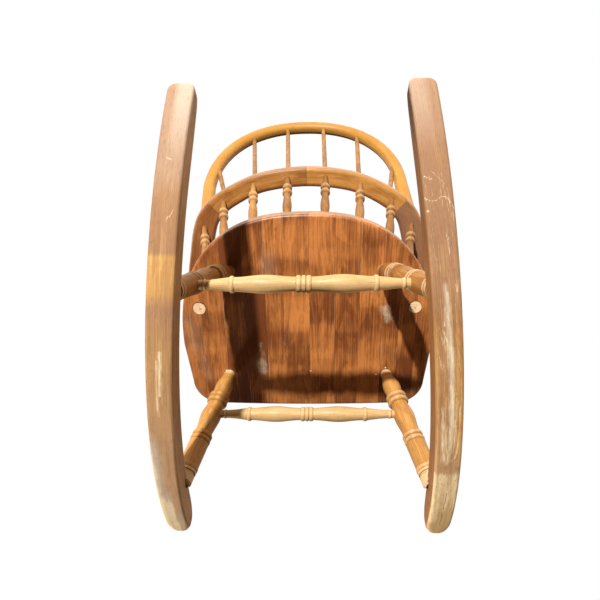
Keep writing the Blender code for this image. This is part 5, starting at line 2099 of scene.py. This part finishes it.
@dataclass
class Studio:
    """The pale floor, the lights and the camera at the photograph's viewing angle.

    The room's light has a least value and a rise over a range of the direction's height or of its way back.
    """

    camera_place: tuple = (-0.01973, 0.26673, -0.64411)
    camera_turn: tuple = (-14.9713, -178.2617, 0.8856)
    lens: float = 28.027
    sensor: float = 36.0
    key_place: tuple = (0.710, 3.014, -2.181)
    key_power: float = 1150.0
    key_radius: float = 0.07
    tip_light_target: tuple = (0.250, -0.32, 0.09)
    tip_light_reach: tuple = (0.96, -1.28, -0.13)
    tip_light_power: float = 106.0
    tip_light_cone: float = math.radians(17)
    tip_light_radius: float = 0.10
    tip_light_colour: Colour = (1.0, 0.90, 0.74)
    tip_light_blend: float = 0.8
    room_colour: Colour = (1.0, 0.86, 0.71)
    room_height: Place2 = (0.13, 1.45)
    room_height_run: Place2 = (-0.30, 0.20)
    room_back: Place2 = (0.3, 0.7)
    room_back_run: Place2 = (-0.6, 0.2)
    floor_colour: Colour = (0.80, 0.79, 0.77)
    floor_roughness: float = 0.9
    floor_half: float = 6.0

    def camera(self) -> None:
        """Set the camera below and behind the chair, looking up at it."""
        data = bpy.data.cameras.new("view")
        data.sensor_width, data.lens = self.sensor, self.lens
        item = linked_object("view", data)
        item.location = self.camera_place
        item.rotation_euler = [math.radians(angle) for angle in self.camera_turn]
        bpy.context.scene.camera = item

    @staticmethod
    def hang(data: bpy.types.Light, place: Vector, way: Vector) -> None:
        """Put a light in its place, shining one way.

        Args:
            data: The light.
            place: Its place.
            way: The way it shines.
        """
        item = linked_object(data.name, data)
        item.location = place
        item.rotation_euler = way.to_track_quat("-Z", "Y").to_euler()

    def lights(self) -> None:
        """Light the chair with a lamp behind and below it and two low beams on the rockers' front tips."""
        lamp = bpy.data.lights.new("key_light", "POINT")
        lamp.energy, lamp.shadow_soft_size = self.key_power, self.key_radius
        self.hang(lamp, Vector(self.key_place), -Vector(self.key_place))
        for side in Side:
            target = Vector(self.tip_light_target) * Vector((side.value, 1.0, 1.0))
            reach = Vector(self.tip_light_reach)
            beam = bpy.data.lights.new(f"tip_light_{side.word}", "SPOT")
            beam.energy, beam.shadow_soft_size = self.tip_light_power, self.tip_light_radius
            beam.spot_size, beam.spot_blend = self.tip_light_cone, self.tip_light_blend
            beam.color = self.tip_light_colour
            self.hang(beam, target + reach, -reach)

    def world(self) -> None:
        """Make a soft room: bright around and above, dim straight below, and plain white to look at."""
        world = bpy.data.worlds.new("studio")
        world.use_nodes = True
        world.node_tree.nodes.clear()
        bench = NodeBench(world.node_tree)
        way = bench.add("ShaderNodeTexCoord").outputs["Generated"]
        parts = bench.add("ShaderNodeSeparateXYZ", {0: way}).outputs
        shares = []
        for part, (least, rise), run in ((parts["Z"], self.room_height, self.room_height_run),
                                         (parts["Y"], self.room_back, self.room_back_run)):
            shares.append(bench.math("ADD", bench.math("MULTIPLY", bench.ramp(part, *run), rise), least))
        glow = {"Color": (*self.room_colour, 1.0), "Strength": bench.math("MULTIPLY", *shares)}
        soft = bench.add("ShaderNodeBackground", glow).outputs[0]
        plain = {"Color": (1.0, 1.0, 1.0, 1.0), "Strength": 1.0}
        white = bench.add("ShaderNodeBackground", plain).outputs[0]
        seen = bench.add("ShaderNodeLightPath").outputs["Is Camera Ray"]
        mixed = bench.add("ShaderNodeMixShader", {0: seen, 1: soft, 2: white}).outputs[0]
        bench.add("ShaderNodeOutputWorld", {"Surface": mixed})
        bpy.context.scene.world = world

    def floor(self) -> None:
        """Lay a pale floor that can be seen from above and looked through from below."""
        half = self.floor_half
        mesh = bpy.data.meshes.new("floor")
        corners = [(-half, -half, 0), (half, -half, 0), (half, half, 0), (-half, half, 0)]
        mesh.from_pydata(corners, [], [(0, 1, 2, 3)])
        material = bpy.data.materials.new("pale_floor")
        material.use_nodes = True
        bench = NodeBench(material.node_tree)
        shader = material.node_tree.nodes["Principled BSDF"]
        shader.inputs["Base Color"].default_value = (*self.floor_colour, 1.0)
        shader.inputs["Roughness"].default_value = self.floor_roughness
        clear = bench.add("ShaderNodeBsdfTransparent").outputs[0]
        behind = bench.add("ShaderNodeNewGeometry").outputs["Backfacing"]
        mixed = bench.add("ShaderNodeMixShader", {0: behind, 1: shader.outputs[0], 2: clear}).outputs[0]
        bench.feed(material.node_tree.nodes["Material Output"].inputs["Surface"], mixed)
        mesh.materials.append(material)
        floor = linked_object("floor", mesh)
        floor.visible_shadow = False
        floor.visible_diffuse = False
        floor.visible_glossy = False

    def build(self) -> None:
        """Set up camera, lights, room and floor."""
        self.camera()
        self.lights()
        self.world()
        self.floor()
        bpy.context.scene.view_settings.view_transform = "Standard"


def main() -> None:
    """Build every sub-assembly in order, then the studio, and note the two boxes."""
    logging.basicConfig(level=logging.INFO, format="%(name)s %(message)s")
    workshop = Workshop()
    lathe = Lathe()
    rockers = Rockers(workshop)
    legs = Legs(workshop, lathe, rockers)
    seat = Seat(workshop)
    rail = ArmRail(workshop)
    spindles = ArmSpindles(workshop, lathe, seat, rail)
    posts = ArmPosts(workshop, lathe, seat, rail, spindles)
    rockers.build()
    legs.build()
    Stretchers(workshop, lathe, legs).build()
    seat.build(posts)
    rail.build()
    spindles.build()
    posts.build()
    Back(workshop, lathe, rail, spindles).build()
    Studio().build()


if __name__ == "__main__":
    main()
